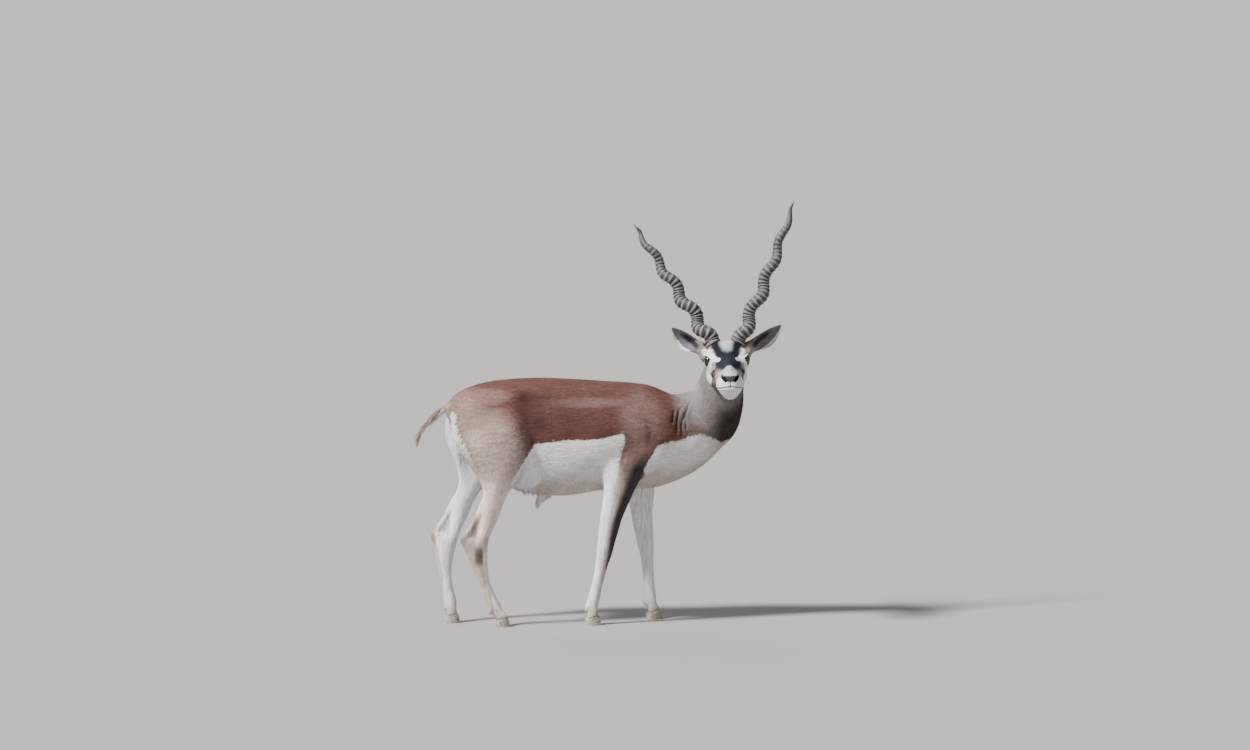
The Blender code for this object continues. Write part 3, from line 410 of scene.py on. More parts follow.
for sign in (-1, 1):
    centre = eye_axes(sign)[0]
    reach, size = lid_reach(at, sign)
    near = (size < EYE_ZONE) & (reach < 2.2)
    above = at[:, 2] > centre[2]
    lid = EYE_RADIUS + np.where(above, 0.0022, 0.0014) - 0.0010 * ramp(1.15, 1.6, reach)
    wanted = np.where(reach < 1.0, EYE_RADIUS - 0.0022, np.maximum(size, lid))
    crease = 0.0011 * bump_at(reach, 1.42, 0.10) * above
    wanted = np.where(near, wanted - crease * (reach > 1.1), size)
    at = centre + (at - centre) * (wanted / size)[:, None]
spots = from_head(at)

# Creases of the neck, the hollow of the flank, the gap between the buttocks
normals = read_vectors(skin.data, "normal")
x, y, z = spots.T
crease = np.zeros(len(spots))
for line in NECK_CREASES:
    gap, along = line_distance(spots[:, (0, 2)], line)
    fade = between(along, 0.0, 0.12, 0.85, 1.0)
    crease += fade * (0.0012 * bump_at(gap, 0.0075, 0.0035) - 0.0030 * bump_at(gap, 0, 0.0032))
crease *= ramp(0.2, 0.6, -normals[:, 1]) * (x < 0.28) * (z > 0.54)
hollow = between(x, -0.285, -0.235, -0.190, -0.166)
hollow *= between(z, 0.545, 0.60, 0.655, 0.700)
crease -= 0.0065 * hollow * ramp(0.5, 0.9, np.abs(normals[:, 1]))
cleft = bump_at(y, MIDLINE, 0.0045) * ramp(0.2, 0.6, -normals[:, 0])
cleft *= ramp(-0.40, -0.44, x) * ramp(0.50, 0.54, z)
crease -= 0.006 * cleft
set_points(skin.data, spots + normals * crease[:, None])

# The mesh is thinned, least of all on the head
loose = skin.vertex_groups.new(name="loose")
weight = 1 - ramp(0.3, 0.8, head_share(spots))
for step in range(11):
    members = np.nonzero(np.round(weight * 10) == step)[0]
    if len(members):
        loose.add(members.tolist(), step / 10, "REPLACE")
if len(skin.data.polygons) > SKIN_TRIANGLES:
    thin = skin.modifiers.new("Thin", "DECIMATE")
    thin.ratio = SKIN_TRIANGLES / len(skin.data.polygons)
    thin.vertex_group, thin.vertex_group_factor = "loose", 1.0
    applied(skin)
skin.vertex_groups.clear()
skin.name = skin.data.name = "skin"
for face in skin.data.polygons:
    face.use_smooth = True

# The markings: reddish brown above, fawn on the thighs, white below and inside the legs,
# a dark stripe down each foreleg, and a blue-black face with white eye rings and muzzle.
RUFOUS = (0.104, 0.047, 0.036)
# painted shade: rufous hair as it looks in shade, for the hollows, folds and lower flank
SHADED_RUFOUS = (0.060, 0.028, 0.023)
# painted highlight: the pale sheen of the hair along the flank
SHEEN_STREAK = (0.190, 0.130, 0.115)
SHOULDER = (0.205, 0.135, 0.115)
FAWN = (0.550, 0.440, 0.385)
SHANK = (0.740, 0.600, 0.540)
SAND = (0.290, 0.190, 0.158)
NECK_LIGHT = (0.360, 0.330, 0.330)
NECK_RUST = (0.190, 0.115, 0.095)
TAIL_BROWN = (0.300, 0.190, 0.165)
HOCK_BROWN = (0.085, 0.048, 0.038)
NECK_GREY = (0.165, 0.148, 0.145)
# the neck's front: dark brown hair, deepened by painted shade
DARK_NECK_FRONT_AND_SHADE = (0.040, 0.029, 0.026)
STRIPE = (0.048, 0.039, 0.039)
WHITE = (0.800, 0.800, 0.800)
# dusty white, also used as painted shade on the undersides
DUSTY_AND_SHADED_WHITE = (0.430, 0.370, 0.330)
LIMB_TAN = (0.440, 0.360, 0.335)
LIMB_PALE = (0.560, 0.510, 0.490)
FACE_TAN = (0.370, 0.315, 0.285)
FACE_DARK = (0.007, 0.008, 0.013)
FACE_SLATE = (0.012, 0.014, 0.024)
FACE_GREY = (0.470, 0.490, 0.560)
EAR_GREY = (0.155, 0.147, 0.168)
CREAM = (0.430, 0.435, 0.415)
RUST = (0.160, 0.075, 0.042)
GLAND = (0.120, 0.062, 0.066)
NOSE_PAD = (0.052, 0.043, 0.049)
# bare dark skin, also used as painted shadow in the gap between the buttocks
DARK_SKIN_AND_CLEFT_SHADOW = (0.010, 0.007, 0.009)
# dark skin inside the ear, with painted shade in its cup
EAR_SKIN_AND_HOLLOW_SHADE = (0.030, 0.023, 0.028)
EAR_BACK = (0.300, 0.240, 0.210)

# the brown of the right side, seen from the side: x and height
BROWN_OUTLINE = (
    (-0.62, 0.90), (-0.62, 0.72), (-0.4765, 0.6755), (-0.4592, 0.612), (-0.4426, 0.5705),
    (-0.4126, 0.514), (-0.390, 0.4616), (-0.3764, 0.409), (-0.41, 0.37), (-0.46, 0.31),
    (-0.47, 0.24), (-0.42, 0.12), (-0.40, 0.045), (-0.332, 0.045), (-0.343, 0.070),
    (-0.3595, 0.119), (-0.376, 0.172), (-0.374, 0.215), (-0.360, 0.255), (-0.335, 0.32),
    (-0.3148, 0.378), (-0.2937, 0.438), (-0.2546, 0.497), (-0.2209, 0.546), (-0.1344, 0.555),
    (-0.0291, 0.560), (0.0422, 0.5755), (0.0460, 0.553), (0.0347, 0.516), (0.0234, 0.471),
    (0.0144, 0.404), (0.0010, 0.329), (-0.0100, 0.254), (-0.0185, 0.180), (-0.0240, 0.129),
    (-0.0360, 0.075), (-0.0200, 0.055), (0.05, 0.055), (0.10, 0.25), (0.12, 0.40),
    (0.1023, 0.4698), (0.121, 0.4995), (0.1437, 0.5365), (0.1662, 0.5436), (0.2038, 0.5476),
    (0.2339, 0.5576), (0.2715, 0.568), (0.3015, 0.560), (0.339, 0.541), (0.45, 0.57),
    (0.60, 0.90),
)
# soft patches of the trunk and legs: middle, half sizes, colour, strength; the shaded rufous ones
# are painted shade, the sheen streak a painted highlight
BODY_PATCHES = (
    ((-0.36, 0.500), (0.125, 0.150), FAWN, 0.95),
    ((-0.35, 0.340), (0.120, 0.130), SHANK, 1.00),
    ((-0.38, 0.150), (0.120, 0.140), FAWN, 1.00),
    ((-0.43, 0.640), (0.070, 0.060), SAND, 0.75),
    ((-0.33, 0.600), (0.090, 0.060), SAND, 0.55),
    ((-0.370, 0.684), (0.100, 0.028), SAND, 0.50),
    # painted shade on the lower flank
    ((-0.060, 0.594), (0.160, 0.050), SHADED_RUFOUS, 0.25),
    # painted highlight: a pale streak of sheen along the upper flank
    ((-0.050, 0.665), (0.150, 0.016), SHEEN_STREAK, 0.55),
    ((0.095, 0.600), (0.080, 0.110), SHOULDER, 0.85),
    ((0.060, 0.450), (0.070, 0.110), SHOULDER, 0.90),
    ((-0.387, 0.212), (0.016, 0.036), HOCK_BROWN, 0.85),
    ((-0.400, 0.300), (0.012, 0.050), HOCK_BROWN, 0.60),
    ((0.020, 0.350), (0.055, 0.130), LIMB_TAN, 0.90),
    ((-0.010, 0.170), (0.055, 0.130), LIMB_TAN, 1.00),
    ((0.084, 0.580), (0.036, 0.036), SAND, 0.65),
    # painted shade in the fold behind the upper arm and in the fold at the root of the neck
    ((0.117, 0.575), (0.012, 0.045), SHADED_RUFOUS, 0.45),
    ((0.196, 0.600), (0.018, 0.070), SHADED_RUFOUS, 0.55),
)
# the stripe's middle, then how far along it: its full half width and where it fades out
FORE_STRIPE = (
    (0.0970, 0.4850), (0.0700, 0.4250), (0.0480, 0.3700), (0.0300, 0.3210),
    (0.0160, 0.2600), (0.0060, 0.2000), (-0.0040, 0.1500),
)
STRIPE_WIDTHS = ((0.0, 0.009, 0.036), (0.4, 0.008, 0.026), (1.0, 0.003, 0.013))
# The head's frame: white from, to and radius, then the dark mask's and grey patch's half
# widths along the face, the bare gland and the rusty root of the horn
FACE_WHITES = (
    ((0.070, 0.066, 0.031), (0.114, 0.054, 0.036), 0.0140),
    ((0.114, 0.053, 0.036), (0.140, 0.046, 0.027), 0.0125),
    ((0.140, 0.046, 0.027), (0.162, 0.027, 0.0275), 0.0080),
    ((0.146, 0.052, 0.008), (0.138, 0.054, -0.008), 0.0100),
    ((0.070, 0.068, 0.030), (0.092, 0.064, -0.004), 0.0100),
    ((0.138, 0.053, -0.006), (0.124, 0.053, -0.024), 0.0145),
    ((0.124, 0.053, -0.024), (0.118, 0.052, -0.042), 0.0140),
    ((0.116, 0.053, -0.036), (0.112, 0.052, -0.056), 0.0085),
    ((0.100, 0.058, -0.020), (0.104, 0.057, -0.040), 0.0120),
    ((0.098, 0.062, 0.006), (0.118, 0.056, -0.010), 0.0130),
)
WHITES_MELD = 0.0045
MASK_WIDTHS = (
    (0.06, 0.052), (0.085, 0.046), (0.144, 0.035), (0.172, 0.037), (0.215, 0.024), (0.24, 0.018),
)
GREY_WIDTHS = ((0.060, 0.019), (0.100, 0.016), (0.132, 0.011), (0.152, 0.001))
GLAND_BARE = ((0.172, 0.040, -0.004), (0.158, 0.042, -0.026))
RUSTY_ROOT = ((0.044, 0.066, 0.050), (0.070, 0.058, 0.054))
# how much crisper the white's edges are on the face than on the body
FACE_SHARPNESS = 2.4
EAR_ROOT = (0.045, 0.062, 0.027)
EAR_TIPS = {-1: (0.018, -0.156, 0.0945), 1: (0.018, 0.169, 0.0925)}
EAR_WIDTHS = ((0.0, 0.021), (0.25, 0.026), (0.5, 0.029), (0.75, 0.021), (1.0, 0.003))
# x between the fore and the hind quarters
MID_TRUNK = -0.15


def table_at(table, values):
    """Reads a table of rows by its first column: each other column at the given values."""
    rows = np.array(table)
    return [np.interp(values, rows[:, 0], rows[:, k]) for k in range(1, rows.shape[1])]


def blend_to(base, other, share):
    """Moves each colour or direction of base towards another one by its share."""
    return base + (np.array(other) - base) * np.clip(share, 0, 1)[:, None]


def soft_patch(x, z, middle, half, full=0.4, gone=1.2):
    """1 in the middle of an oval, fading out past its edge."""
    reach = np.hypot((x - middle[0]) / half[0], (z - middle[1]) / half[1])
    return 1 - ramp(full, gone, reach)


def outline_depth(x, z, outline):
    """Signed distance into a closed outline: positive inside."""
    inside = np.zeros(len(x), bool)
    nearest = np.full(len(x), 9.0)
    for (ax, az), (bx, bz) in zip(outline, outline[1:] + outline[:1]):
        run, rise = bx - ax, bz - az
        share = np.clip(((x - ax) * run + (z - az) * rise) / (run * run + rise * rise), 0, 1)
        nearest = np.minimum(nearest, np.hypot(x - ax - share * run, z - az - share * rise))
        if rise:
            inside ^= ((az > z) != (bz > z)) & (x < ax + (z - az) * run / rise)
    return np.where(inside, nearest, -nearest)


def leg_middle(fore, z):
    """How far a leg's middle lies from the animal's middle plane, at height z."""
    foot, spread = np.where(fore, 0.058, 0.055), np.where(fore, 0.024, 0.028)
    return foot + spread * ramp(0.02, 0.47, z) - 0.032 * ramp(0.54, 0.69, z)


def right_side_x(points):
    """Where each point lies along the body once the left legs stand like the right ones."""
    x, z = points[:, 0], points[:, 2]
    left = ramp(-0.01, 0.01, points[:, 1] - MIDLINE)
    fore = 0.082 * (1 - ramp(0.36, 0.60, z)) + 0.30 * np.maximum(0.0, 0.42 - z)
    hind = -0.070 * (1 - ramp(0.31, 0.62, z)) - 0.238 * np.maximum(0.0, 0.264 - z)
    return x - left * (fore * ramp(-0.12, 0.0, x) + hind * ramp(0.22, 0.30, -x))


def neckward(x, z):
    """How far forward a point lies, measured along the slope of the neck's root."""
    return x + 0.25 * (z - 0.60)


def brown_hair(x, z):
    """Colour of the brown and grey hair over the trunk, neck and legs, seen from the side, with
    painted shade and a painted highlight.
    """
    tone = np.tile(np.array(RUFOUS), (len(x), 1))
    for middle, half, colour, strength in BODY_PATCHES:
        tone = blend_to(tone, colour, strength * soft_patch(x, z, middle, half, 0.45, 1.15))
    # painted shade in the hollow before the thigh, from its back edge to the fold of the flank,
    # and fainter up to the fold
    shade = ramp(-0.300, -0.235, x + 0.35 * (z - 0.60)) * (1 - ramp(-0.190, -0.158, x))
    shade *= between(z, 0.50, 0.58, 0.600, 0.720)
    tone = blend_to(tone, SHADED_RUFOUS, 0.72 * shade)
    shade_before_fold = between(x, -0.215, -0.165, -0.116, -0.100) * between(z, 0.52, 0.58, 0.650, 0.720)
    tone = blend_to(tone, SHADED_RUFOUS, 0.42 * shade_before_fold)
    necked = ramp(0.19, 0.26, neckward(x, z))
    tone = blend_to(tone, NECK_GREY, necked)
    patch = soft_patch(x, z, (0.285, 0.735), (0.045, 0.075))
    tone = blend_to(tone, NECK_LIGHT, 0.75 * necked * patch)
    tone = blend_to(tone, NECK_RUST, 0.8 * soft_patch(x, z, (0.262, 0.584), (0.045, 0.018)))
    # the front of the neck: its own dark brown, deepened by painted shade
    return blend_to(tone, DARK_NECK_FRONT_AND_SHADE, necked * ramp(0.298, 0.350, x - 0.10 * (z - 0.6)))


def body_markings(points, normals):
    """Colour of the dark hair and depth into the white, over the trunk, neck and legs."""
    x, z = right_side_x(points), points[:, 2]
    along_body, lateral = points[:, 0], np.abs(points[:, 1] - MIDLINE)
    tone = brown_hair(x, z)
    brown = outline_depth(x, z, BROWN_OUTLINE)
    fore = x > MID_TRUNK
    pale = 1 - ramp(0.0, 0.015, brown)
    tone = blend_to(tone, LIMB_PALE, fore * pale * ramp(0.50, 0.44, z))
    gap, along = line_distance(np.column_stack([x, z]), FORE_STRIPE)
    full, faded = table_at(STRIPE_WIDTHS, along)
    stripe = (1 - ramp(full, faded, gap)) * (1 - ramp(0.92, 1.0, along))
    tone = blend_to(tone, STRIPE, stripe * ramp(0.515, 0.470, z))
    inner = lateral - leg_middle(fore, z) + 0.004 + 0.6 * np.maximum(0.0, z - 0.44)
    # the brown wraps round the back edge of the hind cannon
    inner += 0.022 * ramp(0.10, 0.80, -normals[:, 0]) * ~fore * ramp(0.30, 0.25, z)
    white = -np.minimum(brown, inner)
    behind = 0.03 * (-normals[:, 0] - 0.66) - 0.03 * (1 - ramp(-0.37, -0.40, along_body))
    behind -= 0.03 * (1 - ramp(0.36, 0.42, z) + ramp(0.63, 0.655, z))
    white = np.maximum(white, behind)
    between_thighs = np.minimum(0.050 - lateral, np.minimum(0.60 - z, -0.34 - along_body))
    white = np.maximum(white, np.minimum(between_thighs, 0.02))
    # the tail is white below and towards its tip
    tail = (along_body < -0.462) & (lateral < 0.030) & (z > 0.55)
    tone[tail] = TAIL_BROWN
    tip = 0.2 * (along_body + 0.552) * (along_body < -0.552)
    white = np.where(tail, -0.008 * (normals[:, 2] + 0.35) - tip, white)
    # painted shadow in the gap between the buttocks: dark colour and no white along the middle
    # line
    cleft = bump_at(points[:, 1], MIDLINE, 0.0035) * ramp(0.3, 0.6, -normals[:, 0])
    cleft *= ramp(-0.42, -0.44, along_body) * ramp(0.55, 0.57, z) * ramp(0.66, 0.64, z) * ~tail
    return blend_to(tone, DARK_SKIN_AND_CLEFT_SHADOW, cleft), np.where(cleft > 0.5, -0.01, white)


def bare_face(at, side):
    """Where the face is bare: the nose pad, the black skin, and all of it."""
    x, _, z = at.T
    front = ramp(0.238, 0.246, x)
    pad = ramp(0.0205, 0.0170, side) * ramp(-0.0145, -0.0115, z) * ramp(0.0055, 0.0025, z)
    line = 0.8 * ramp(0.0017, 0.0007, side) * ramp(-0.031, -0.029, z) * ramp(-0.010, -0.013, z)
    hole = ramp(0.0056, 0.0040, gap_to(NOSTRIL, side, z))
    lift, _, open_share = mouth_gap(at)
    lips = 0.85 * ramp(0.0013, 0.0004, np.abs(lift)) * open_share
    slit = ramp(0.0050, 0.0028, gap_to(GLAND_SLIT, x, side, z))
    dark_skin = np.maximum.reduce([front * line, front * hole, lips, slit])
    for sign in (-1, 1):
        reach, size = lid_reach(at, sign)
        dark_skin = np.maximum(dark_skin, ramp(1.24, 1.10, reach) * (size < 0.026))
    return front * pad, dark_skin, np.maximum(front * pad, dark_skin)


def face_markings(at):
    """Colour of the dark hair and depth into the white, over the head."""
    x, y, z = at.T
    side = np.abs(y)
    tone = np.tile(np.array(FACE_TAN), (len(at), 1))
    tone = blend_to(tone, NECK_GREY, ramp(0.02, -0.05, z - 0.5 * x) * (1 - ramp(0.12, 0.17, x)))
    gland = 1 - ramp(0.005, 0.013, gap_to(GLAND_BARE, x, side, z))
    tone = blend_to(tone, GLAND, 0.9 * gland)
    rusty = gap_to(RUSTY_ROOT, x, side, z)
    tone = blend_to(tone, RUST, 0.85 * (1 - ramp(0.004, 0.014, rusty)))
    (width,) = table_at(MASK_WIDTHS, x)
    dark = (1 - ramp(width - 0.006, width + 0.006, side)) * ramp(0.040, 0.070, x)
    dark *= (1 - ramp(0.230, 0.246, x + 8 * side**2)) * ramp(-0.022, 0.008, z)
    tone = blend_to(tone, FACE_DARK, dark)
    tone = blend_to(tone, FACE_SLATE, 0.9 * dark * ramp(0.145, 0.165, x))
    (half,) = table_at(GREY_WIDTHS, x)
    patch = ramp(half + 0.010, half - 0.008, side) * ramp(0.02, 0.04, z) * ramp(0.154, 0.112, x)
    tone = blend_to(tone, FACE_GREY, 0.90 * patch * dark)
    tone = blend_to(tone, FACE_TAN, ramp(0.060, 0.035, x) * ramp(0.02, 0.04, z) * (side < 0.05))
    # the white strokes melt into one another, and stop at the mask, the gland and the horn
    depths = [size - gap_to((start, end), x, side, z) for start, end, size in FACE_WHITES]
    sums = np.exp(np.clip(np.array(depths) / WHITES_MELD, -40, 8)).sum(axis=0)
    white = WHITES_MELD * np.log(sums) - 0.0016
    white = np.where((dark > 0.5) & (side < width - 0.012) & (x < 0.15), -0.01, white)
    white = np.minimum(white, rusty - 0.0085)
    slit = ramp(0.0050, 0.0066, gap_to(GLAND_SLIT, x, side, z))
    white = np.minimum(white, slit * 0.02 - 0.008)
    muzzle = 0.40 * (x - 0.236 - 0.35 * np.maximum(z + 0.02, 0))
    chin = 0.40 * np.minimum(x - 0.188, -0.046 - z + 0.12 * (x - 0.188))
    white = np.maximum(white, np.maximum(muzzle, chin))
    # a cream band crosses the nose above the pad
    band = ramp(0.001, 0.006, z) * ramp(0.226, 0.236, x + 8 * side**2)
    band *= ramp(0.032, 0.026, side)
    tone = blend_to(tone, CREAM, band)
    white = np.where(band > 0.3, np.minimum(white, -0.004), white)
    pad, dark_skin, bare = bare_face(at, side)
    tone = blend_to(blend_to(tone, NOSE_PAD, pad), DARK_SKIN_AND_CLEFT_SHADOW, dark_skin)
    return tone, np.where(bare > 0.5, -0.02, white)


def ear_line(sign):
    """Root of an ear in the head's frame, its length, and its direction to the tip."""
    root = on_side(EAR_ROOT, sign)
    reach = np.array(EAR_TIPS[sign]) - root
    length = np.linalg.norm(reach)
    return root, length, reach / length


def head_markings(points, normals):
    """The same over the whole head, in its own frame, with the ears laid over the face."""
    at = to_head(points)
    tone, white = face_markings(at)
    for sign in EAR_TIPS:
        root, length, reach = ear_line(sign)
        share = (at - root) @ reach / length
        off = at - root - share[:, None] * length * reach
        forward = unit(np.array((1.0, 0.0, 0.0)) - reach * reach[0])
        lower = sign * (off @ np.cross(reach, forward))
        across = np.abs(lower)
        on_ear = ramp(0.08, 0.16, share) * (at[:, 1] * sign > 0.05)
        inside = ramp(-0.1, 0.35, normals @ (HEAD_TURN @ forward)) * ramp(0.10, 0.24, share)
        (half,) = table_at(EAR_WIDTHS, share)
        rim = ramp(0.62, 0.92, across / (half * np.where(lower > 0, 1.24, 1.0)))
        # the dark inside of the ear, with painted shade deepest in its cup near the root
        hollow = inside * ramp(0.42, 0.16, across / half) * (1 - ramp(0.55, 0.85, share))
        tone = blend_to(tone, EAR_BACK, on_ear)
        tone = blend_to(tone, EAR_GREY, on_ear * inside)
        tone = blend_to(tone, EAR_SKIN_AND_HOLLOW_SHADE, on_ear * hollow)
        white = np.where(on_ear > 0.5, 0.006 * (rim * inside * 1.6 - 1.0), white)
    return tone, white


def markings(points, normals):
    """Colour of the dark hair, depth into the white, and how far the white is darkened: painted
    shade on undersides, dust near the ground.
    """
    tone, white = body_markings(points, normals)
    face_tone, face_white = head_markings(points, normals)
    share = head_share(points)
    tone = tone * (1 - share[:, None]) + face_tone * share[:, None]
    # painted shade on the undersides of the belly, chest and jaw, and dust low on the legs near
    # the ground
    underside_shade_and_dust = 0.9 * ramp(-0.1, -0.8, normals[:, 2]) * ramp(0.33, 0.38, points[:, 2])
    underside_shade_and_dust = np.maximum(underside_shade_and_dust, ramp(0.11, 0.015, points[:, 2])) * (1 - 0.8 * share)
    return tone, white * (1 - share) + FACE_SHARPNESS * face_white * share, underside_shade_and_dust


def keep_number(mesh, name, values):
    layer = mesh.attributes.new(name, "FLOAT", "POINT")
    layer.data.foreach_set("value", values.astype(np.float32))


def put_markings(mesh, tone, white, underside_shade_and_dust):
    """Stores the markings on a mesh, as a colour and two numbers for each point."""
    rows = np.column_stack([tone, np.ones(len(tone))]).astype(np.float32)
    mesh.attributes.new("tone", "FLOAT_COLOR", "POINT").data.foreach_set("color", rows.ravel())
    keep_number(mesh, "white", white)
    keep_number(mesh, "underside_shade_and_dust", underside_shade_and_dust)


def feed(node, takes):
    """Fills a node's sockets, each with a value or from another node's output."""
    for socket, value in takes.items():
        if isinstance(value, bpy.types.NodeSocket):
            node.id_data.links.new(value, node.inputs[socket])
        else:
            node.inputs[socket].default_value = value


def add_node(tree, kind, takes, **settings):
    node = tree.nodes.new("ShaderNode" + kind)
    for name, value in settings.items():
        setattr(node, name, value)
    feed(node, takes)
    return node


def object_place(tree, stretch=None):
    """Places on the piece, squeezed along each axis for a grain that runs one way."""
    place = add_node(tree, "TexCoord", {}).outputs["Object"]
    if stretch is None:
        return place
    return add_node(tree, "Mapping", {"Vector": place, "Scale": stretch}).outputs[0]


def kept(tree, name, output="Fac"):
    """Reads what is stored on the points of the mesh."""
    return add_node(tree, "Attribute", {}, attribute_name=name).outputs[output]


def noise(tree, place, scale, detail=2.0):
    takes = {"Vector": place, "Scale": scale, "Detail": detail}
    return add_node(tree, "TexNoise", takes).outputs["Fac"]


def maths(tree, operation, *values):
    return add_node(tree, "Math", dict(enumerate(values)), operation=operation).outputs[0]


def vector_maths(tree, operation, output, *values):
    node = add_node(tree, "VectorMath", dict(enumerate(values)), operation=operation)
    return node.outputs[output]


def rescaled(tree, value, low, high, to_low=0.0, to_high=1.0, kind="LINEAR"):
    takes = {"Value": value, "From Min": low, "From Max": high}
    takes.update({"To Min": to_low, "To Max": to_high})
    return add_node(tree, "MapRange", takes, interpolation_type=kind).outputs[0]


def blended(tree, share, first, second):
    return add_node(tree, "Mix", {0: share, 6: first, 7: second}, data_type="RGBA").outputs[2]


def tone_ramp(tree, share, first, last, *others):
    """Colours along a range: each stop is a place and its colour."""
    node = add_node(tree, "ValToRGB", {0: share})
    stops = node.color_ramp.elements
    for stop, (place, colour) in zip((stops[0], stops[1]), (first, last)):
        stop.position, stop.color = place, (*colour, 1)
    for place, colour in others:
        stops.new(place).color = (*colour, 1)
    return node.outputs[0]


def bumped(tree, height, strength, distance):
    takes = {"Height": height, "Strength": strength, "Distance": distance}
    return add_node(tree, "Bump", takes).outputs["Normal"]


# half width of the white's soft edge, and how deep the hair's relief is
WHITE_EDGE, HAIR_RELIEF = 0.0022, 0.0012


def hair_group():
    """Hair colour and relief: ragged edges to the white, streaks and clumps along the lie."""
    group = bpy.data.node_groups.new("hair_tones", "ShaderNodeTree")
    for name, way, kind, start in (
        ("Tone", "INPUT", "Color", (0.3, 0.2, 0.1, 1)),
        ("White Depth", "INPUT", "Float", 0.0),
        ("White Tone", "INPUT", "Color", (*WHITE, 1)),
        ("Underside Shade And Dust", "INPUT", "Float", 0.0),
        ("Edge Raggedness", "INPUT", "Float", 0.004),
        ("Streaks", "INPUT", "Float", 0.16),
        ("Colour", "OUTPUT", "Color", (*RUFOUS, 1)),
        ("Relief", "OUTPUT", "Float", 0.5),
        ("Roughness", "OUTPUT", "Float", 0.7),
    ):
        socket = group.interface.new_socket(name, in_out=way, socket_type="NodeSocket" + kind)
        socket.default_value = start
    given = group.nodes.new("NodeGroupInput").outputs
    result = group.nodes.new("NodeGroupOutput")
    place = object_place(group)
    # hair lies along the body on the trunk, and down on the legs and neck
    lies = []
    for stretch in ((0.16, 1.0, 1.0), (1.0, 1.0, 0.16)):
        lie = object_place(group, stretch)
        fine = maths(group, "MULTIPLY", noise(group, lie, 620.0, 3.0), 0.45)
        lies.append(maths(group, "MULTIPLY_ADD", noise(group, lie, 150.0), 0.55, fine))
    height = add_node(group, "SeparateXYZ", {0: place}).outputs["Z"]
    takes = {0: rescaled(group, height, 0.40, 0.52), 2: lies[1], 3: lies[0]}
    lie = add_node(group, "Mix", takes, data_type="FLOAT").outputs[0]
    # the edge of the white wanders with the hairs
    wander = maths(group, "SUBTRACT", lie, 0.5)
    rag = maths(group, "MULTIPLY", given["Edge Raggedness"], 4.0)
    shift = maths(group, "MULTIPLY_ADD", wander, rag, given["White Depth"])
    edge = rescaled(group, shift, -WHITE_EDGE, WHITE_EDGE, kind="SMOOTHSTEP")
    # the white is cream and dusty in random places and towards the ground, and darkened by painted
    # shade on the undersides
    mottle = noise(group, place, 26.0)
    dust = maths(group, "MAXIMUM", rescaled(group, mottle, 0.44, 0.66, 0.0, 0.35), given["Underside Shade And Dust"])
    whites = blended(group, dust, given["White Tone"], (*DUSTY_AND_SHADED_WHITE, 1))
    colour = blended(group, edge, given["Tone"], whites)
    # hairs lighten and darken along the streaks, and in broad soft mottles
    vary = maths(group, "MULTIPLY_ADD", mottle, 0.35, lie)
    centred = maths(group, "SUBTRACT", vary, 0.675)
    strength = maths(group, "MULTIPLY", given["Streaks"], 10.0)
    gain = maths(group, "MULTIPLY_ADD", centred, strength, 1.0)
    bright = add_node(group, "VectorMath", {0: colour, "Scale": gain}, operation="SCALE")
    rough = rescaled(group, lie, 0.3, 0.7, 0.62, 0.80)
    feed(result, {"Colour": bright.outputs[0], "Relief": lie, "Roughness": rough})
    return group


HAIR_TONES = hair_group()


def hair_material(name, raggedness, streaks, relief):
    """Short hair: the shared tones, with this piece's own streaks and relief."""
    material = plain_material(name, WHITE, 0.65)
    tree = material.node_tree
    takes = {"Edge Raggedness": raggedness, "Streaks": streaks, "Underside Shade And Dust": kept(tree, "underside_shade_and_dust")}
    takes.update({"Tone": kept(tree, "tone", "Color"), "White Depth": kept(tree, "white")})
    tones = add_node(tree, "Group", {}, node_tree=HAIR_TONES)
    feed(tones, takes)
    feed(tree.nodes["Principled BSDF"], {
        "Specular IOR Level": 0.14,
        "Base Color": tones.outputs["Colour"],
        "Roughness": tones.outputs["Roughness"],
        "Normal": bumped(tree, tones.outputs["Relief"], relief, HAIR_RELIEF),
    })
    return material


SKIN_POINTS = read_vectors(skin.data, "co")
SKIN_NORMALS = read_vectors(skin.data, "normal")
put_markings(skin.data, *markings(SKIN_POINTS, SKIN_NORMALS))
skin.data.materials.clear()
skin.data.materials.append(hair_material("skin_coat", 0.004, 0.16, 0.7))
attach(skin, "root")
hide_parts(*FLESH, "tail")

# The horns: ringed sheaths in an open corkscrew, each built as one closed solid without the bony
# core.
# Each is a grid wound into a tube and raised into rings that fade to a smooth tip.
HORN_ROOT = (0.062, 0.034, 0.050)
HORN_TIPS = {"right": (-0.135, -0.2545, 0.3760), "left": (-0.130, 0.2230, 0.4340)}
HORN_RADIUS = 0.0228
# where its twist starts, its turns, how wide it winds, how far it bows out
HORN_SPIRALS = {"right": (0.30, 4.35, 0.0112, 0.001), "left": (1.10, 4.17, 0.0102, 0.009)}
# share of the length: share of the root's radius, height of the rings
HORN_TAPER = (
    (0.00, 1.00, 0.0014), (0.10, 0.86, 0.0020), (0.25, 0.79, 0.0021), (0.45, 0.75, 0.0019),
    (0.62, 0.64, 0.0015), (0.76, 0.54, 0.0009), (0.88, 0.38, 0.0002), (0.95, 0.22, 0.0),
    (1.00, 0.05, 0.0),
)
# the paler crests lose their contrast towards the tip
CREST_FADE = ((0.0, 1.0), (0.45, 0.75), (0.80, 0.30))
HORN_RINGS = 34
HORN_RINGED = 0.84
HORN_STEPS, HORN_SIDES = 620, 56
HORN_TONES = (
    (0.26, (0.026, 0.022, 0.021)), (1.0, (0.200, 0.188, 0.182)), (0.58, (0.082, 0.076, 0.074)),
)


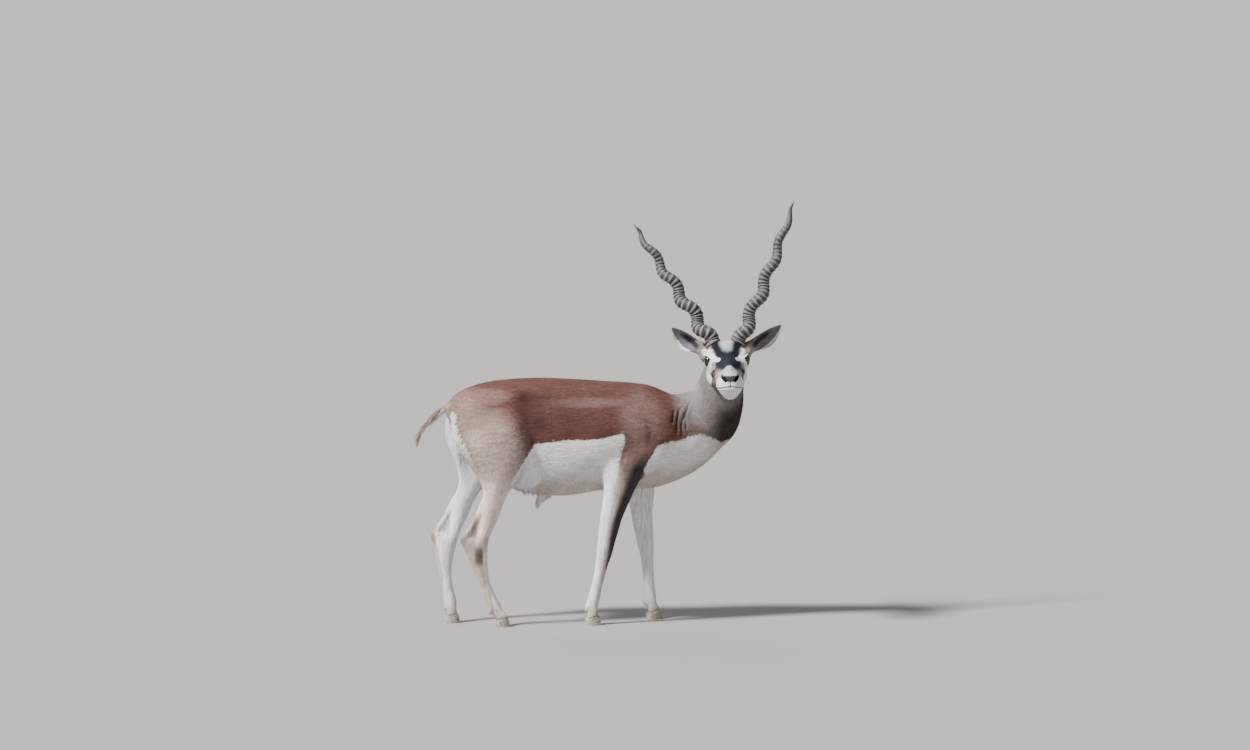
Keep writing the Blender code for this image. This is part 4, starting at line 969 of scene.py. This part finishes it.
def wound(name, steps, sides, place):
    """Winds a flat grid into a closed tube or ball.

    place takes shares along it and angles round it, and gives the points and any numbers
    to keep for them.
    """
    work = bmesh.new()
    bmesh.ops.create_grid(work, x_segments=steps, y_segments=sides, size=0.5)
    flat = np.array([v.co for v in work.verts])
    points, numbers = place(flat[:, 0] + 0.5, (flat[:, 1] + 0.5) * 2 * math.pi)
    for v, point in zip(work.verts, points):
        v.co = point
    for label, values in numbers.items():
        layer = work.verts.layers.float.new(label)
        for v, value in zip(work.verts, values):
            v[layer] = value
    bmesh.ops.remove_doubles(work, verts=work.verts, dist=2e-6)
    rims = [e for e in work.edges if e.is_boundary]
    if rims:
        bmesh.ops.holes_fill(work, edges=rims)
    bmesh.ops.recalc_face_normals(work, faces=work.faces)
    for face in work.faces:
        face.smooth = True
    return made_mesh(work, name)


def ring_round(turn, first, second):
    """Directions at each angle in the plane of two others."""
    return np.cos(turn)[:, None] * first + np.sin(turn)[:, None] * second


def horn_line(side, shares):
    """The middle of a horn at each share of its length."""
    sign = 1 if side == "left" else -1
    root = np.array(HEAD_FRAME @ Vector(on_side(HORN_ROOT, sign)))
    tip = np.array(HEAD_FRAME @ Vector(HORN_TIPS[side]))
    phase, turns, wide, bow = HORN_SPIRALS[side]
    axis = unit(tip - root)
    inward = HEAD_TURN @ (0, -sign, 0)
    inward = unit(inward - axis * (inward @ axis))
    front = HEAD_TURN @ (1, 0, 0)
    front = unit(front - axis * (front @ axis) - inward * (front @ inward))
    angle = (phase + 2 * math.pi * turns * np.maximum(shares, 0.0) ** 0.95)[:, None]
    reach = wide * between(shares, 0.0, 0.10, 0.93, 1.0) * (1 - 0.55 * shares)
    reach, shares = reach[:, None], shares[:, None]
    bowed = reach * np.sin(angle) - 4 * bow * shares * (1 - shares)
    return root + (tip - root) * shares + inward * bowed - front * reach * np.cos(angle)


def horn_sheath(side):
    """One horn, with the height of its rings kept for their colour."""

    def place(shares, turn):
        line, step = horn_line(side, shares), 1e-3
        along = unit(horn_line(side, shares + step) - horn_line(side, shares - step))
        first = np.tile(HEAD_TURN @ (1, 0, 0), (len(shares), 1))
        first = unit(first - along * (first * along).sum(1)[:, None])
        radius, height = table_at(HORN_TAPER, shares)
        pace = shares / HORN_RINGED
        # the rings stand wider apart towards the tip, and wander a little round the horn
        ring = HORN_RINGS * (-0.8 + np.sqrt(0.64 + 0.8 * np.minimum(pace, 1.0))) / 0.4
        ring += 0.10 * np.sin(turn + 0.6 * np.floor(ring)) * (pace < 1)
        crest = (1.45 * between(ring % 1.0, 0.0, 0.36, 0.42, 0.78) - 0.40) * (pace < 1)
        crest *= 0.72 + 0.28 * np.cos(turn)
        size = HORN_RADIUS * radius + height * crest * ramp(0.0, 0.012, shares)
        points = line + size[:, None] * ring_round(turn, first, np.cross(along, first))
        return points, {"crest": crest * table_at(CREST_FADE, shares)[0]}

    return wound("horn_sheath_" + side, HORN_STEPS, HORN_SIDES, place)


def horn_material():
    """Grey-brown horn: pale worn crests, dark grooves, fine lines along the sheath."""
    material = plain_material("ringed_horn", HORN_TONES[2][1], 0.45)
    tree = material.node_tree
    blotch = noise(tree, object_place(tree), 55.0, 6.0)
    worn = maths(tree, "MULTIPLY_ADD", kept(tree, "crest"), 0.62, blotch)
    grain = noise(tree, object_place(tree, (1.0, 1.0, 0.30)), 480.0, 4.0)
    feed(tree.nodes["Principled BSDF"], {
        "Base Color": tone_ramp(tree, worn, *HORN_TONES),
        "Roughness": rescaled(tree, blotch, 0.0, 1.0, 0.42, 0.72),
        "Normal": bumped(tree, grain, 0.8, 0.0010),
    })
    return material


RINGED_HORN = horn_material()
for side in ("right", "left"):
    horn = new_piece("horn_sheath_" + side, horn_sheath(side), RINGED_HORN)
    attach(horn, "root")
    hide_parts("horn_" + side)

# The eyes: dark brown balls under a clear bulging cornea, with a level slot of a pupil.
# The rims of the lids are bare dark skin, rounded over the ball.
CORNEA_BULGE = 0.0011
# how far iris and pupil reach, as shares of the ball's radius, and how flat the pupil is
IRIS_REACH, PUPIL_REACH, PUPIL_FLATNESS = 0.62, 0.34, 2.1
# the lids' rims: reach against the opening, thickness, how much thicker above, and how far
# their middle stands off the ball
RIM_REACH, RIM_THICK, RIM_THICKER, RIM_LIFT = 1.03, 0.00125, 0.0004, 0.0006
EYE_WHITE = (0.012, 0.007, 0.006)
PUPIL = (0.003, 0.003, 0.005)
IRIS_TONES = ((0.35, (0.010, 0.005, 0.003)), (0.70, (0.028, 0.012, 0.006)))
LID_TONES = ((0.3, (0.010, 0.007, 0.008)), (0.8, (0.034, 0.024, 0.025)))


def eyeball(sign):
    """A ball whose cornea stands out a little in front."""
    centre, along_axis, up, look = eye_axes(sign)

    def place(along, turn):
        polar = along * math.pi
        size = EYE_RADIUS + CORNEA_BULGE * (1 - ramp(0.35, 0.80, polar))
        out = ring_round(polar, look, ring_round(turn, along_axis, up))
        return from_head(centre + out * size[:, None]), {}

    return wound("eyeball", 96, 64, place)


def lid_rim(sign):
    """A rounded rim along the edge of the lids, thicker above."""
    centre, along_axis, up, look = eye_axes(sign)

    def place(along, turn):
        angle = along * 2 * math.pi
        wide = RIM_REACH * LID_OPENING[0] * np.cos(angle) / EYE_RADIUS
        high = RIM_REACH * LID_OPENING[1] * np.sin(angle) / EYE_RADIUS
        deep = np.sqrt(np.maximum(1 - wide**2 - high**2, 0.02))
        out = wide[:, None] * along_axis + high[:, None] * up + deep[:, None] * look
        sideways = ring_round(angle, along_axis, up)
        sideways = unit(sideways - out * (sideways * out).sum(1)[:, None])
        thick = (RIM_THICK + RIM_THICKER * np.sin(angle))[:, None]
        ring = ring_round(turn, out, sideways)
        return from_head(centre + out * (EYE_RADIUS + RIM_LIFT) + ring * thick), {}

    return wound("eyelid_rim", 96, 12, place)


def eye_material(side):
    """Dark iris with fine rays, a level pupil, brown-black white of the eye, all wet."""
    material = plain_material("wet_eye_" + side, PUPIL, 0.06)
    tree = material.node_tree
    flat = {"X": kept(tree, "across"), "Y": kept(tree, "upward")}
    flat = add_node(tree, "CombineXYZ", flat).outputs[0]
    reach = vector_maths(tree, "LENGTH", "Value", flat)
    slot = vector_maths(tree, "MULTIPLY", "Vector", flat, (1.0, PUPIL_FLATNESS, 1.0))
    slot = vector_maths(tree, "LENGTH", "Value", slot)
    edge = rescaled(tree, reach, IRIS_REACH - 0.06, IRIS_REACH + 0.03, kind="SMOOTHSTEP")
    iris = tone_ramp(tree, noise(tree, flat, 7.0, 5.0), *IRIS_TONES)
    ball = blended(tree, edge, iris, (*EYE_WHITE, 1))
    pupil = rescaled(tree, slot, PUPIL_REACH + 0.02, PUPIL_REACH - 0.02, kind="SMOOTHSTEP")
    feed(tree.nodes["Principled BSDF"], {
        "Coat Weight": 0.6,
        "Coat Roughness": 0.02,
        "Base Color": blended(tree, pupil, ball, (*PUPIL, 1)),
    })
    return material


def bare_skin_material():
    material = plain_material("bare_skin", DARK_SKIN_AND_CLEFT_SHADOW, 0.38)
    tree = material.node_tree
    grain = noise(tree, object_place(tree), 900.0)
    feed(tree.nodes["Principled BSDF"], {
        "Base Color": tone_ramp(tree, grain, *LID_TONES),
        "Normal": bumped(tree, grain, 0.3, 0.0004),
    })
    return material


BARE_SKIN = bare_skin_material()
for side, sign in (("right", -1), ("left", 1)):
    ball = new_piece("eyeball_" + side, eyeball(sign), eye_material(side))
    centre, along_axis, up, look = eye_axes(sign)
    out = (to_head(read_vectors(ball.data, "co")) - centre) / EYE_RADIUS
    for name, axis in (("across", along_axis), ("upward", up)):
        keep_number(ball.data, name, np.where(out @ look > 0, out @ axis, np.sign(out @ axis)))
    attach(ball, "root")
    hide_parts("eye_" + side)
    rim = new_piece("eyelid_rim_" + side, lid_rim(sign), BARE_SKIN)
    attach(rim, "root")

# The hooves: paired narrow claws of dark horn, dusted pale by the ground they walk on.
# Each claw is wound as a ring from its flat sole to its sloping top, with growth lines.
HOOF_LENGTH, HOOF_HALF_WIDTH, HOOF_TOP = 0.046, 0.0108, 0.0245
# how a claw narrows to its point, how its top slopes, and the seam between it and the leg
HOOF_POINT, HOOF_SLOPE, HOOF_GAP = 0.42, 0.30, 0.00036
# how far the winding runs in past the sole and the top, to close them
HOOF_TURN_IN = 0.08
# height share: length each way, width, how far back it leans
HOOF_LEVELS = (
    (0.000, 0.440, 0.900, 0.0), (0.012, 0.490, 0.985, 0.0), (0.030, 0.500, 1.000, 0.0),
    (0.500, 0.460, 0.980, -0.0015), (0.970, 0.405, 0.920, -0.003), (1.000, 0.380, 0.860, -0.003),
)
CLAW_TONES = ((0.50, (0.130, 0.112, 0.100)), (0.95, (0.46, 0.41, 0.36)))


def claw(name):
    """One claw over its solid: a narrow oval, pointed in front, drawn up from the sole."""
    middle = sum(np.array(corner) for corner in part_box(name)) / 2

    def place(along, turn):
        level = along * (1 + 2 * HOOF_TURN_IN) - HOOF_TURN_IN
        share = np.clip(level, 0, 1)
        inset = np.clip(1 - np.maximum(-level, level - 1) / HOOF_TURN_IN, 0.0, 1.0)
        length, width, back = table_at(HOOF_LEVELS, share)
        rings = 1 + 0.010 * np.sin(share * 38.0) * ramp(0.06, 0.2, share) * ramp(1.0, 0.9, share)
        cos, sin = np.cos(turn), np.sin(turn)
        narrow = 1 - HOOF_POINT * np.clip(cos, 0, 1) ** 2
        x = HOOF_LENGTH * length * cos * inset * rings
        y = HOOF_HALF_WIDTH * width * narrow * sin * inset * rings
        z = share * (HOOF_TOP + HOOF_SLOPE * (x + back) - HOOF_GAP)
        return np.column_stack([middle[0] + x + back, middle[1] + y, np.maximum(z, 0.0)]), {}

    return wound("claw", 60, 48, place)


def claw_material():
    """Grey-brown horn with fine growth lines, pale with dust in blotches."""
    material = plain_material("dusty_claw", CLAW_TONES[0][1], 0.6)
    tree = material.node_tree
    lines = noise(tree, object_place(tree, (1.0, 1.0, 9.0)), 90.0, 5.0)
    dust = noise(tree, object_place(tree), 120.0, 4.0)
    both = maths(tree, "MULTIPLY_ADD", lines, 0.6, dust)
    feed(tree.nodes["Principled BSDF"], {
        "Base Color": tone_ramp(tree, both, *CLAW_TONES),
        "Normal": bumped(tree, lines, 0.4, 0.0006),
    })
    return material


DUSTY_CLAW = claw_material()
for leg in ("fore_right", "fore_left", "hind_right", "hind_left"):
    for toe in ("outer", "inner"):
        node = f"hoof_{leg}_{toe}"
        piece = new_piece(f"claw_{leg}_{toe}", claw(node), DUSTY_CLAW)
        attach(piece, "root")
        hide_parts(node)

# The coat: short hair in fine flat locks that lie along the body, smallest on the face
# and legs. Each lock is closed, and keeps the colour of the skin at its root. Its patch of
# the map sits at its root's place on an unwrap of the skin's own shape.
# region: spacing, length, width, how high the tip stands
COAT_LOCKS = {
    "trunk": (0.0037, 0.0110, 0.0017, 0.0006),
    "neck": (0.0036, 0.0105, 0.0016, 0.0008),
    "head": (0.0025, 0.0044, 0.0009, 0.0005),
    "ears": (0.0026, 0.0036, 0.0008, 0.0002),
    "fore": (0.0031, 0.0066, 0.0013, 0.0005),
    "hind": (0.0032, 0.0070, 0.0013, 0.0005),
}
COAT_THIN = 1.0
PATCH = 0.0015
LEG_TOP = 0.48
HOOF_HAIR_END = 0.026
# how deep each lock is rooted, how thick it is, and how round its shading is
ROOT_DEPTH, LOCK_THICKNESS, LOCK_ROUNDNESS = 0.0004, 0.55, 0.30
# how much the locks differ in tone, in depth into the white, and in size
TONE_SPREAD, WHITE_SPREAD, SIZE_SPREAD = 0.13, 0.0022, 0.22
# how far bare skin reaches round the gland slits, nostrils and lips, and round the eyes
SLIT_BARE, NOSTRIL_BARE, LIP_BARE, LID_BARE = 0.0042, 0.0066, 0.0036, 1.28


def lie_of(points, normals):
    """The way the hair lies: back along the trunk, down the limbs, and along each ear."""
    x, y, z = points.T
    head = head_share(points)
    flow = np.tile((-1.0, 0.0, -0.20), (len(points), 1))
    for way, share in (
        ((-0.55, 0.0, -0.85), ramp(0.66, 0.52, z) * ramp(-0.26, -0.33, x)),
        ((-0.50, 0.0, -0.85), ramp(0.62, 0.52, z) * ramp(0.00, 0.06, x)),
        ((-0.10, 0.0, -1.0), ramp(0.50, 0.40, z)),
        ((-0.40, 0.10, -1.0), ramp(0.19, 0.27, neckward(x, z))),
        (HEAD_TURN @ (-1.0, 0.0, -0.25), head),
    ):
        flow = blend_to(flow, way, share)
    at = to_head(points)
    for sign in EAR_TIPS:
        on_ear = head * ramp(0.058, 0.078, at[:, 1] * sign) * ramp(0.10, 0.07, at[:, 0])
        flow = blend_to(flow, HEAD_TURN @ ear_line(sign)[2], on_ear)
    tail = ramp(-0.455, -0.475, x) * ramp(0.54, 0.56, z) * ramp(0.03, 0.02, np.abs(y - MIDLINE))
    flow = blend_to(flow, (-0.75, 0.0, -0.70), tail)
    # cowlicks and clumps
    drift = np.sin(31 * x + 17 * y - 23 * z) + np.sin(57 * z - 43 * x + 2.0)
    flow += 0.05 * drift[:, None] * np.cross(flow, normals)
    flow -= normals * (flow * normals).sum(1)[:, None]
    return flow / np.maximum(np.linalg.norm(flow, axis=1), 1e-9)[:, None]


def off_middle(points):
    """Clear of the middle plane and the belly, so on a leg where it is low enough."""
    x, y, _ = points.T
    return (np.abs(y - MIDLINE) > 0.012) & ((x > -0.06) | (x < -0.25))


def region_of(points):
    """Which region of the coat each point belongs to."""
    x, y, z = points.T
    at = to_head(points)
    head = head_share(points) > 0.5
    ears = head & (np.abs(at[:, 1]) > 0.068) & (at[:, 0] < 0.085)
    neck = ~head & (neckward(x, z) > 0.20) & (z > 0.50)
    legs = ~head & ~neck & (z < LEG_TOP - 0.01) & off_middle(points)
    names = np.full(len(points), "trunk", object)
    names[head], names[ears], names[neck] = "head", "ears", "neck"
    names[legs & (x > MID_TRUNK)], names[legs & (x <= MID_TRUNK)] = "fore", "hind"
    return names


def leg_line(points, fore, left):
    """Heights up a leg and its middle at each, read from the coat's roots."""
    x, y, z = points.T
    chosen = ((x > MID_TRUNK) == fore) & ((y > MIDLINE) == left) & (z < LEG_TOP)
    chosen &= off_middle(points)
    heights = np.linspace(0.0, LEG_TOP, 25)
    level = np.digitize(z, heights)
    rows = [x[chosen & (level == k)] for k in range(1, 26)]
    return heights, np.array([row.mean() if len(row) else 0.0 for row in rows])


def unwrap_places(points, names):
    """Each point's place on the unwrap: every region has its own rectangle."""
    x, y, z = points.T
    at = to_head(points)
    places = np.zeros((len(points), 2))

    def tile(mask, low, high, along, angle):
        wide, tall = high[0] - low[0], high[1] - low[1]
        places[mask, 0] = low[0] + wide * np.clip(along[mask], 0, 1)
        places[mask, 1] = low[1] + tall * (angle[mask] / (2 * math.pi) % 1.0)

    around = np.arctan2(y - MIDLINE, 0.58 - z)
    tile(names == "trunk", (0.01, 0.51), (0.62, 0.99), (x + 0.57) / 0.83, around)
    around = np.arctan2(y - 0.075, x - 0.285 - 0.25 * (z - 0.65))
    tile(names == "neck", (0.64, 0.51), (0.99, 0.99), (z - 0.48) / 0.34, around)
    around = np.arctan2(at[:, 1], -at[:, 2] - 0.02)
    tile(names == "head", (0.01, 0.26), (0.40, 0.49), (at[:, 0] + 0.06) / 0.35, around)
    outward = (np.abs(at[:, 1]) - 0.06) / 0.12
    around = np.arctan2(at[:, 0] - 0.032, at[:, 2] - 0.06)
    for left, edge in ((False, 0.42), (True, 0.58)):
        ear = (names == "ears") & ((at[:, 1] > 0) == left)
        tile(ear, (edge, 0.26), (edge + 0.15, 0.49), outward, around)
    for k, (name, left) in enumerate((("fore", 0), ("fore", 1), ("hind", 0), ("hind", 1))):
        chosen = (names == name) & ((y > MIDLINE) == bool(left))
        centre = np.interp(z, *leg_line(points, name == "fore", bool(left)))
        lateral = np.abs(y - MIDLINE) - leg_middle(name == "fore", z)
        low = 0.01 + 0.245 * k
        around = np.arctan2(lateral, x - centre)
        tile(chosen, (low, 0.01), (low + 0.235, 0.245), z / LEG_TOP, around)
    return places


def scattered(points, normals, triangles, density, chance):
    """Roots spread over the skin by density, with the triangle's own smooth normal."""
    a, b, c = (points[triangles[:, k]] for k in range(3))
    area = 0.5 * np.linalg.norm(np.cross(b - a, c - a), axis=1)
    total = np.cumsum(area * density)
    stops = np.arange(int(total[-1])) + chance.random(int(total[-1]))
    chosen = np.minimum(np.searchsorted(total, stops), len(triangles) - 1)
    first, second = chance.random(len(chosen)), chance.random(len(chosen))
    flip = first + second > 1
    first, second = np.where(flip, 1 - first, first), np.where(flip, 1 - second, second)
    shares = np.column_stack([1 - first - second, first, second])[..., None]
    corners = triangles[chosen]
    roots = (points[corners] * shares).sum(axis=1)
    return roots, unit((normals[corners] * shares).sum(axis=1))


def bareness(points):
    """Where no hair grows: the eyes, nostrils, nose pad, lips, gland slits and hooves."""
    at = to_head(points)
    x, y, z = at.T
    side = np.abs(y)
    bare = gap_to(GLAND_SLIT, x, side, z) < SLIT_BARE
    for sign in (-1, 1):
        reach, size = lid_reach(at, sign)
        bare |= (reach < LID_BARE) & (size < EYE_ZONE)
    front = x > 0.242
    bare |= front & (gap_to(NOSTRIL, side, z) < NOSTRIL_BARE)
    bare |= front & (side < 0.0195) & (z > -0.014) & (z < 0.0045)
    bare |= front & (side < 0.0055) & (z > -0.044) & (z < -0.010)
    lift, _, open_share = mouth_gap(at)
    bare |= (np.abs(lift) < LIP_BARE) & (open_share > 0.3)
    return bare | (points[:, 2] < HOOF_HAIR_END)


triangles = np.empty(len(skin.data.polygons) * 3, np.int32)
skin.data.polygons.foreach_get("vertices", triangles)
triangles = triangles.reshape(-1, 3)
centres = SKIN_POINTS[triangles].mean(axis=1)
spacing = np.array([COAT_LOCKS[name][0] for name in region_of(centres)]) * COAT_THIN
density = np.where(bareness(centres), 0.0, 1 / spacing**2)
chance = np.random.default_rng(20)
roots, outs = scattered(SKIN_POINTS, SKIN_NORMALS, triangles, density, chance)
grown = ~bareness(roots)
roots, outs = roots[grown], outs[grown]
region = region_of(roots)
places = unwrap_places(roots, region)
lies = lie_of(roots, outs)
tones, whites, underside_shades_and_dust = markings(roots, outs)
tones *= (1 + TONE_SPREAD * np.clip(chance.standard_normal(len(roots)), -2, 2))[:, None]
whites += WHITE_SPREAD * chance.standard_normal(len(roots))
COAT = hair_material("coat_locks", 0.0012, 0.10, 0.3)


def lock_pattern(rings):
    """Triangles of one lock: three sides from ring to ring, closed at the root and tip."""
    faces, sides = [(0, 1, 2)], ((0, 1), (1, 2), (2, 0))
    for low in range(0, rings * 3 - 3, 3):
        high = low + 3
        for a, b in sides:
            faces += [(low + a, high + a, high + b), (low + a, high + b, low + b)]
    last = rings * 3 - 3
    faces += [(last + a, rings * 3, last + b) for a, b in sides]
    return np.array(faces)[:, ::-1]


def locks(name, pick, flow, sizes, rings, droop=0.0):
    """Closed tapering locks on the picked roots, as one mesh of small three-sided spikes."""
    lengths, widths, rises = sizes
    count, size = len(pick), rings * 3 + 1
    across = np.cross(outs[pick], flow)
    sag = np.array((0.0, 0.0, -droop))
    points = np.zeros((count, size, 3))
    spread = np.zeros((size, 2))
    for k, share in enumerate(np.linspace(0, 1, rings + 1)[:-1]):
        middle = roots[pick] + flow * (lengths * share)[:, None]
        middle += outs[pick] * (rises * math.sin(share * 1.7) - ROOT_DEPTH)[:, None]
        middle += sag * (lengths * share * share)[:, None]
        half = (0.5 * widths * (1 - 0.75 * share**1.5))[:, None]
        points[:, k * 3] = middle - across * half
        points[:, k * 3 + 1] = middle + across * half
        points[:, k * 3 + 2] = middle + outs[pick] * half * LOCK_THICKNESS
        spread[k * 3 : k * 3 + 3] = [(share * 2 - 1, way) for way in (-1, 1, 0)]
    points[:, -1] = roots[pick] + flow * lengths[:, None] + outs[pick] * (rises * 0.99)[:, None]
    points[:, -1] += sag * lengths[:, None]
    spread[-1] = (1, 0)
    pattern = lock_pattern(rings)
    corners = (pattern[None] + (np.arange(count) * size)[:, None, None]).reshape(-1, 3)
    mesh = bpy.data.meshes.new(name)
    mesh.vertices.add(count * size)
    mesh.loops.add(len(corners) * 3)
    mesh.polygons.add(len(corners))
    mesh.vertices.foreach_set("co", points.astype(np.float32).ravel())
    mesh.loops.foreach_set("vertex_index", corners.astype(np.int32).ravel())
    mesh.polygons.foreach_set("loop_start", (np.arange(len(corners)) * 3).astype(np.int32))
    mesh.update(calc_edges=True)
    patches = (places[pick][:, None] + spread[None] * PATCH).reshape(-1, 2)[corners.ravel()]
    layer = mesh.uv_layers.new(name="OFBake")
    layer.uv.foreach_set("vector", patches.astype(np.float32).ravel())
    marks = (tones[pick], whites[pick], underside_shades_and_dust[pick])
    put_markings(mesh, *(np.repeat(mark, size, axis=0) for mark in marks))
    # each lock is shaded like the skin it lies on, rounded a little across, and its
    # underside the other way
    lean = np.zeros(size)
    lean[0:-1:3], lean[1::3] = -LOCK_ROUNDNESS, LOCK_ROUNDNESS
    under = np.array([all(p % 3 != 2 or p == size - 1 for p in face) for face in pattern])
    facing = np.where(under, -1.0, 1.0)[None, :, None, None]
    soft = outs[pick][:, None, None] * facing
    soft = unit(soft + across[:, None, None] * lean[pattern][None, :, :, None])
    mesh.polygons.foreach_set("use_smooth", np.ones(len(corners), bool))
    mesh.normals_split_custom_set(soft.reshape(-1, 3).astype(np.float32))
    piece = new_piece(name, mesh, COAT)
    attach(piece, "root")


def varied(sizes, amount, count):
    """Each lock's own length, width and rise, about the given ones."""
    return sizes * (1 + amount * np.clip(chance.standard_normal((3, count)), -2, 2))


in_face = head_share(roots)
right = roots[:, 1] < MIDLINE
for name, chosen, slot in (
    ("coat_trunk_right", (region == "trunk") & right, "rufous_coat"),
    ("coat_trunk_left", (region == "trunk") & ~right, "rufous_coat"),
    ("coat_neck", region == "neck", "grey_neck_coat"),
    ("coat_head", region == "head", "face_coat"),
    ("coat_ears", region == "ears", "ear_coat"),
    ("coat_fore_legs", region == "fore", "leg_coat"),
    ("coat_hind_legs", region == "hind", "leg_coat"),
):
    pick = np.nonzero(chosen)[0]
    sizes = np.tile(np.array(COAT_LOCKS[region[pick[0]]][1:])[:, None], (1, len(pick)))
    if name in ("coat_neck", "coat_head"):
        neck, head = (np.array(COAT_LOCKS[end][1:])[:, None] for end in ("neck", "head"))
        sizes = neck * (1 - in_face[pick]) + head * in_face[pick]
    sizes[1] *= COAT_THIN
    locks(name, pick, lies[pick], varied(sizes, SIZE_SPREAD, len(pick)), 2)

# Longer locks: the tassel of the tail, the edge of the rump and the tuft at the sheath.
# They taper, hang a little, and part from the short coat.
TAIL_LINE = ((-0.470, 0.652), (-0.526, 0.607), (-0.553, 0.578), (-0.566, 0.545), (-0.570, 0.525))
SHEATH_X = -0.205


def long_locks(name, chosen, sizes, droop, keep, turn=None):
    """Longer hanging locks on the share, keep, of the chosen roots."""
    pick = np.nonzero(chosen)[0]
    pick = pick[chance.random(len(pick)) < keep]
    sizes = varied(np.array(sizes)[:, None], 0.25, len(pick))
    flow = lies[pick] if turn is None else turn(pick)
    flow = unit(flow + 0.10 * chance.standard_normal((len(pick), 3)))
    locks(name, pick, flow, sizes, 4, droop)


def down_the_tail(pick):
    """The way from each root towards the tail's tip."""
    _, along = line_distance(roots[pick][:, (0, 2)], TAIL_LINE)
    line = np.array(TAIL_LINE)
    step = (np.clip(along, 0, 0.999) * (len(line) - 1)).astype(int)
    ahead = line[step + 1] - line[step]
    return unit(np.column_stack([ahead[:, 0], np.zeros(len(pick)), ahead[:, 1]]))


x, y, z = roots.T
tail = (x < -0.475) & (np.abs(y - MIDLINE) < 0.03) & (z > 0.55)
long_locks("hair_tail", tail, (0.036, 0.0020, 0.0016), 0.15, 0.8, down_the_tail)
edge = (np.abs(whites) < 0.010) & (x < -0.36) & (z > 0.43) & (region == "trunk")
edge &= outs[:, 0] < -0.35
long_locks("hair_rump", edge, (0.013, 0.0016, 0.0016), 0.25, 0.4)
sheath = (z < 0.43) & (np.abs(x - SHEATH_X) < 0.045) & (region == "trunk")
long_locks("hair_sheath", sheath, (0.014, 0.0015, 0.0018), 0.5, 0.5)
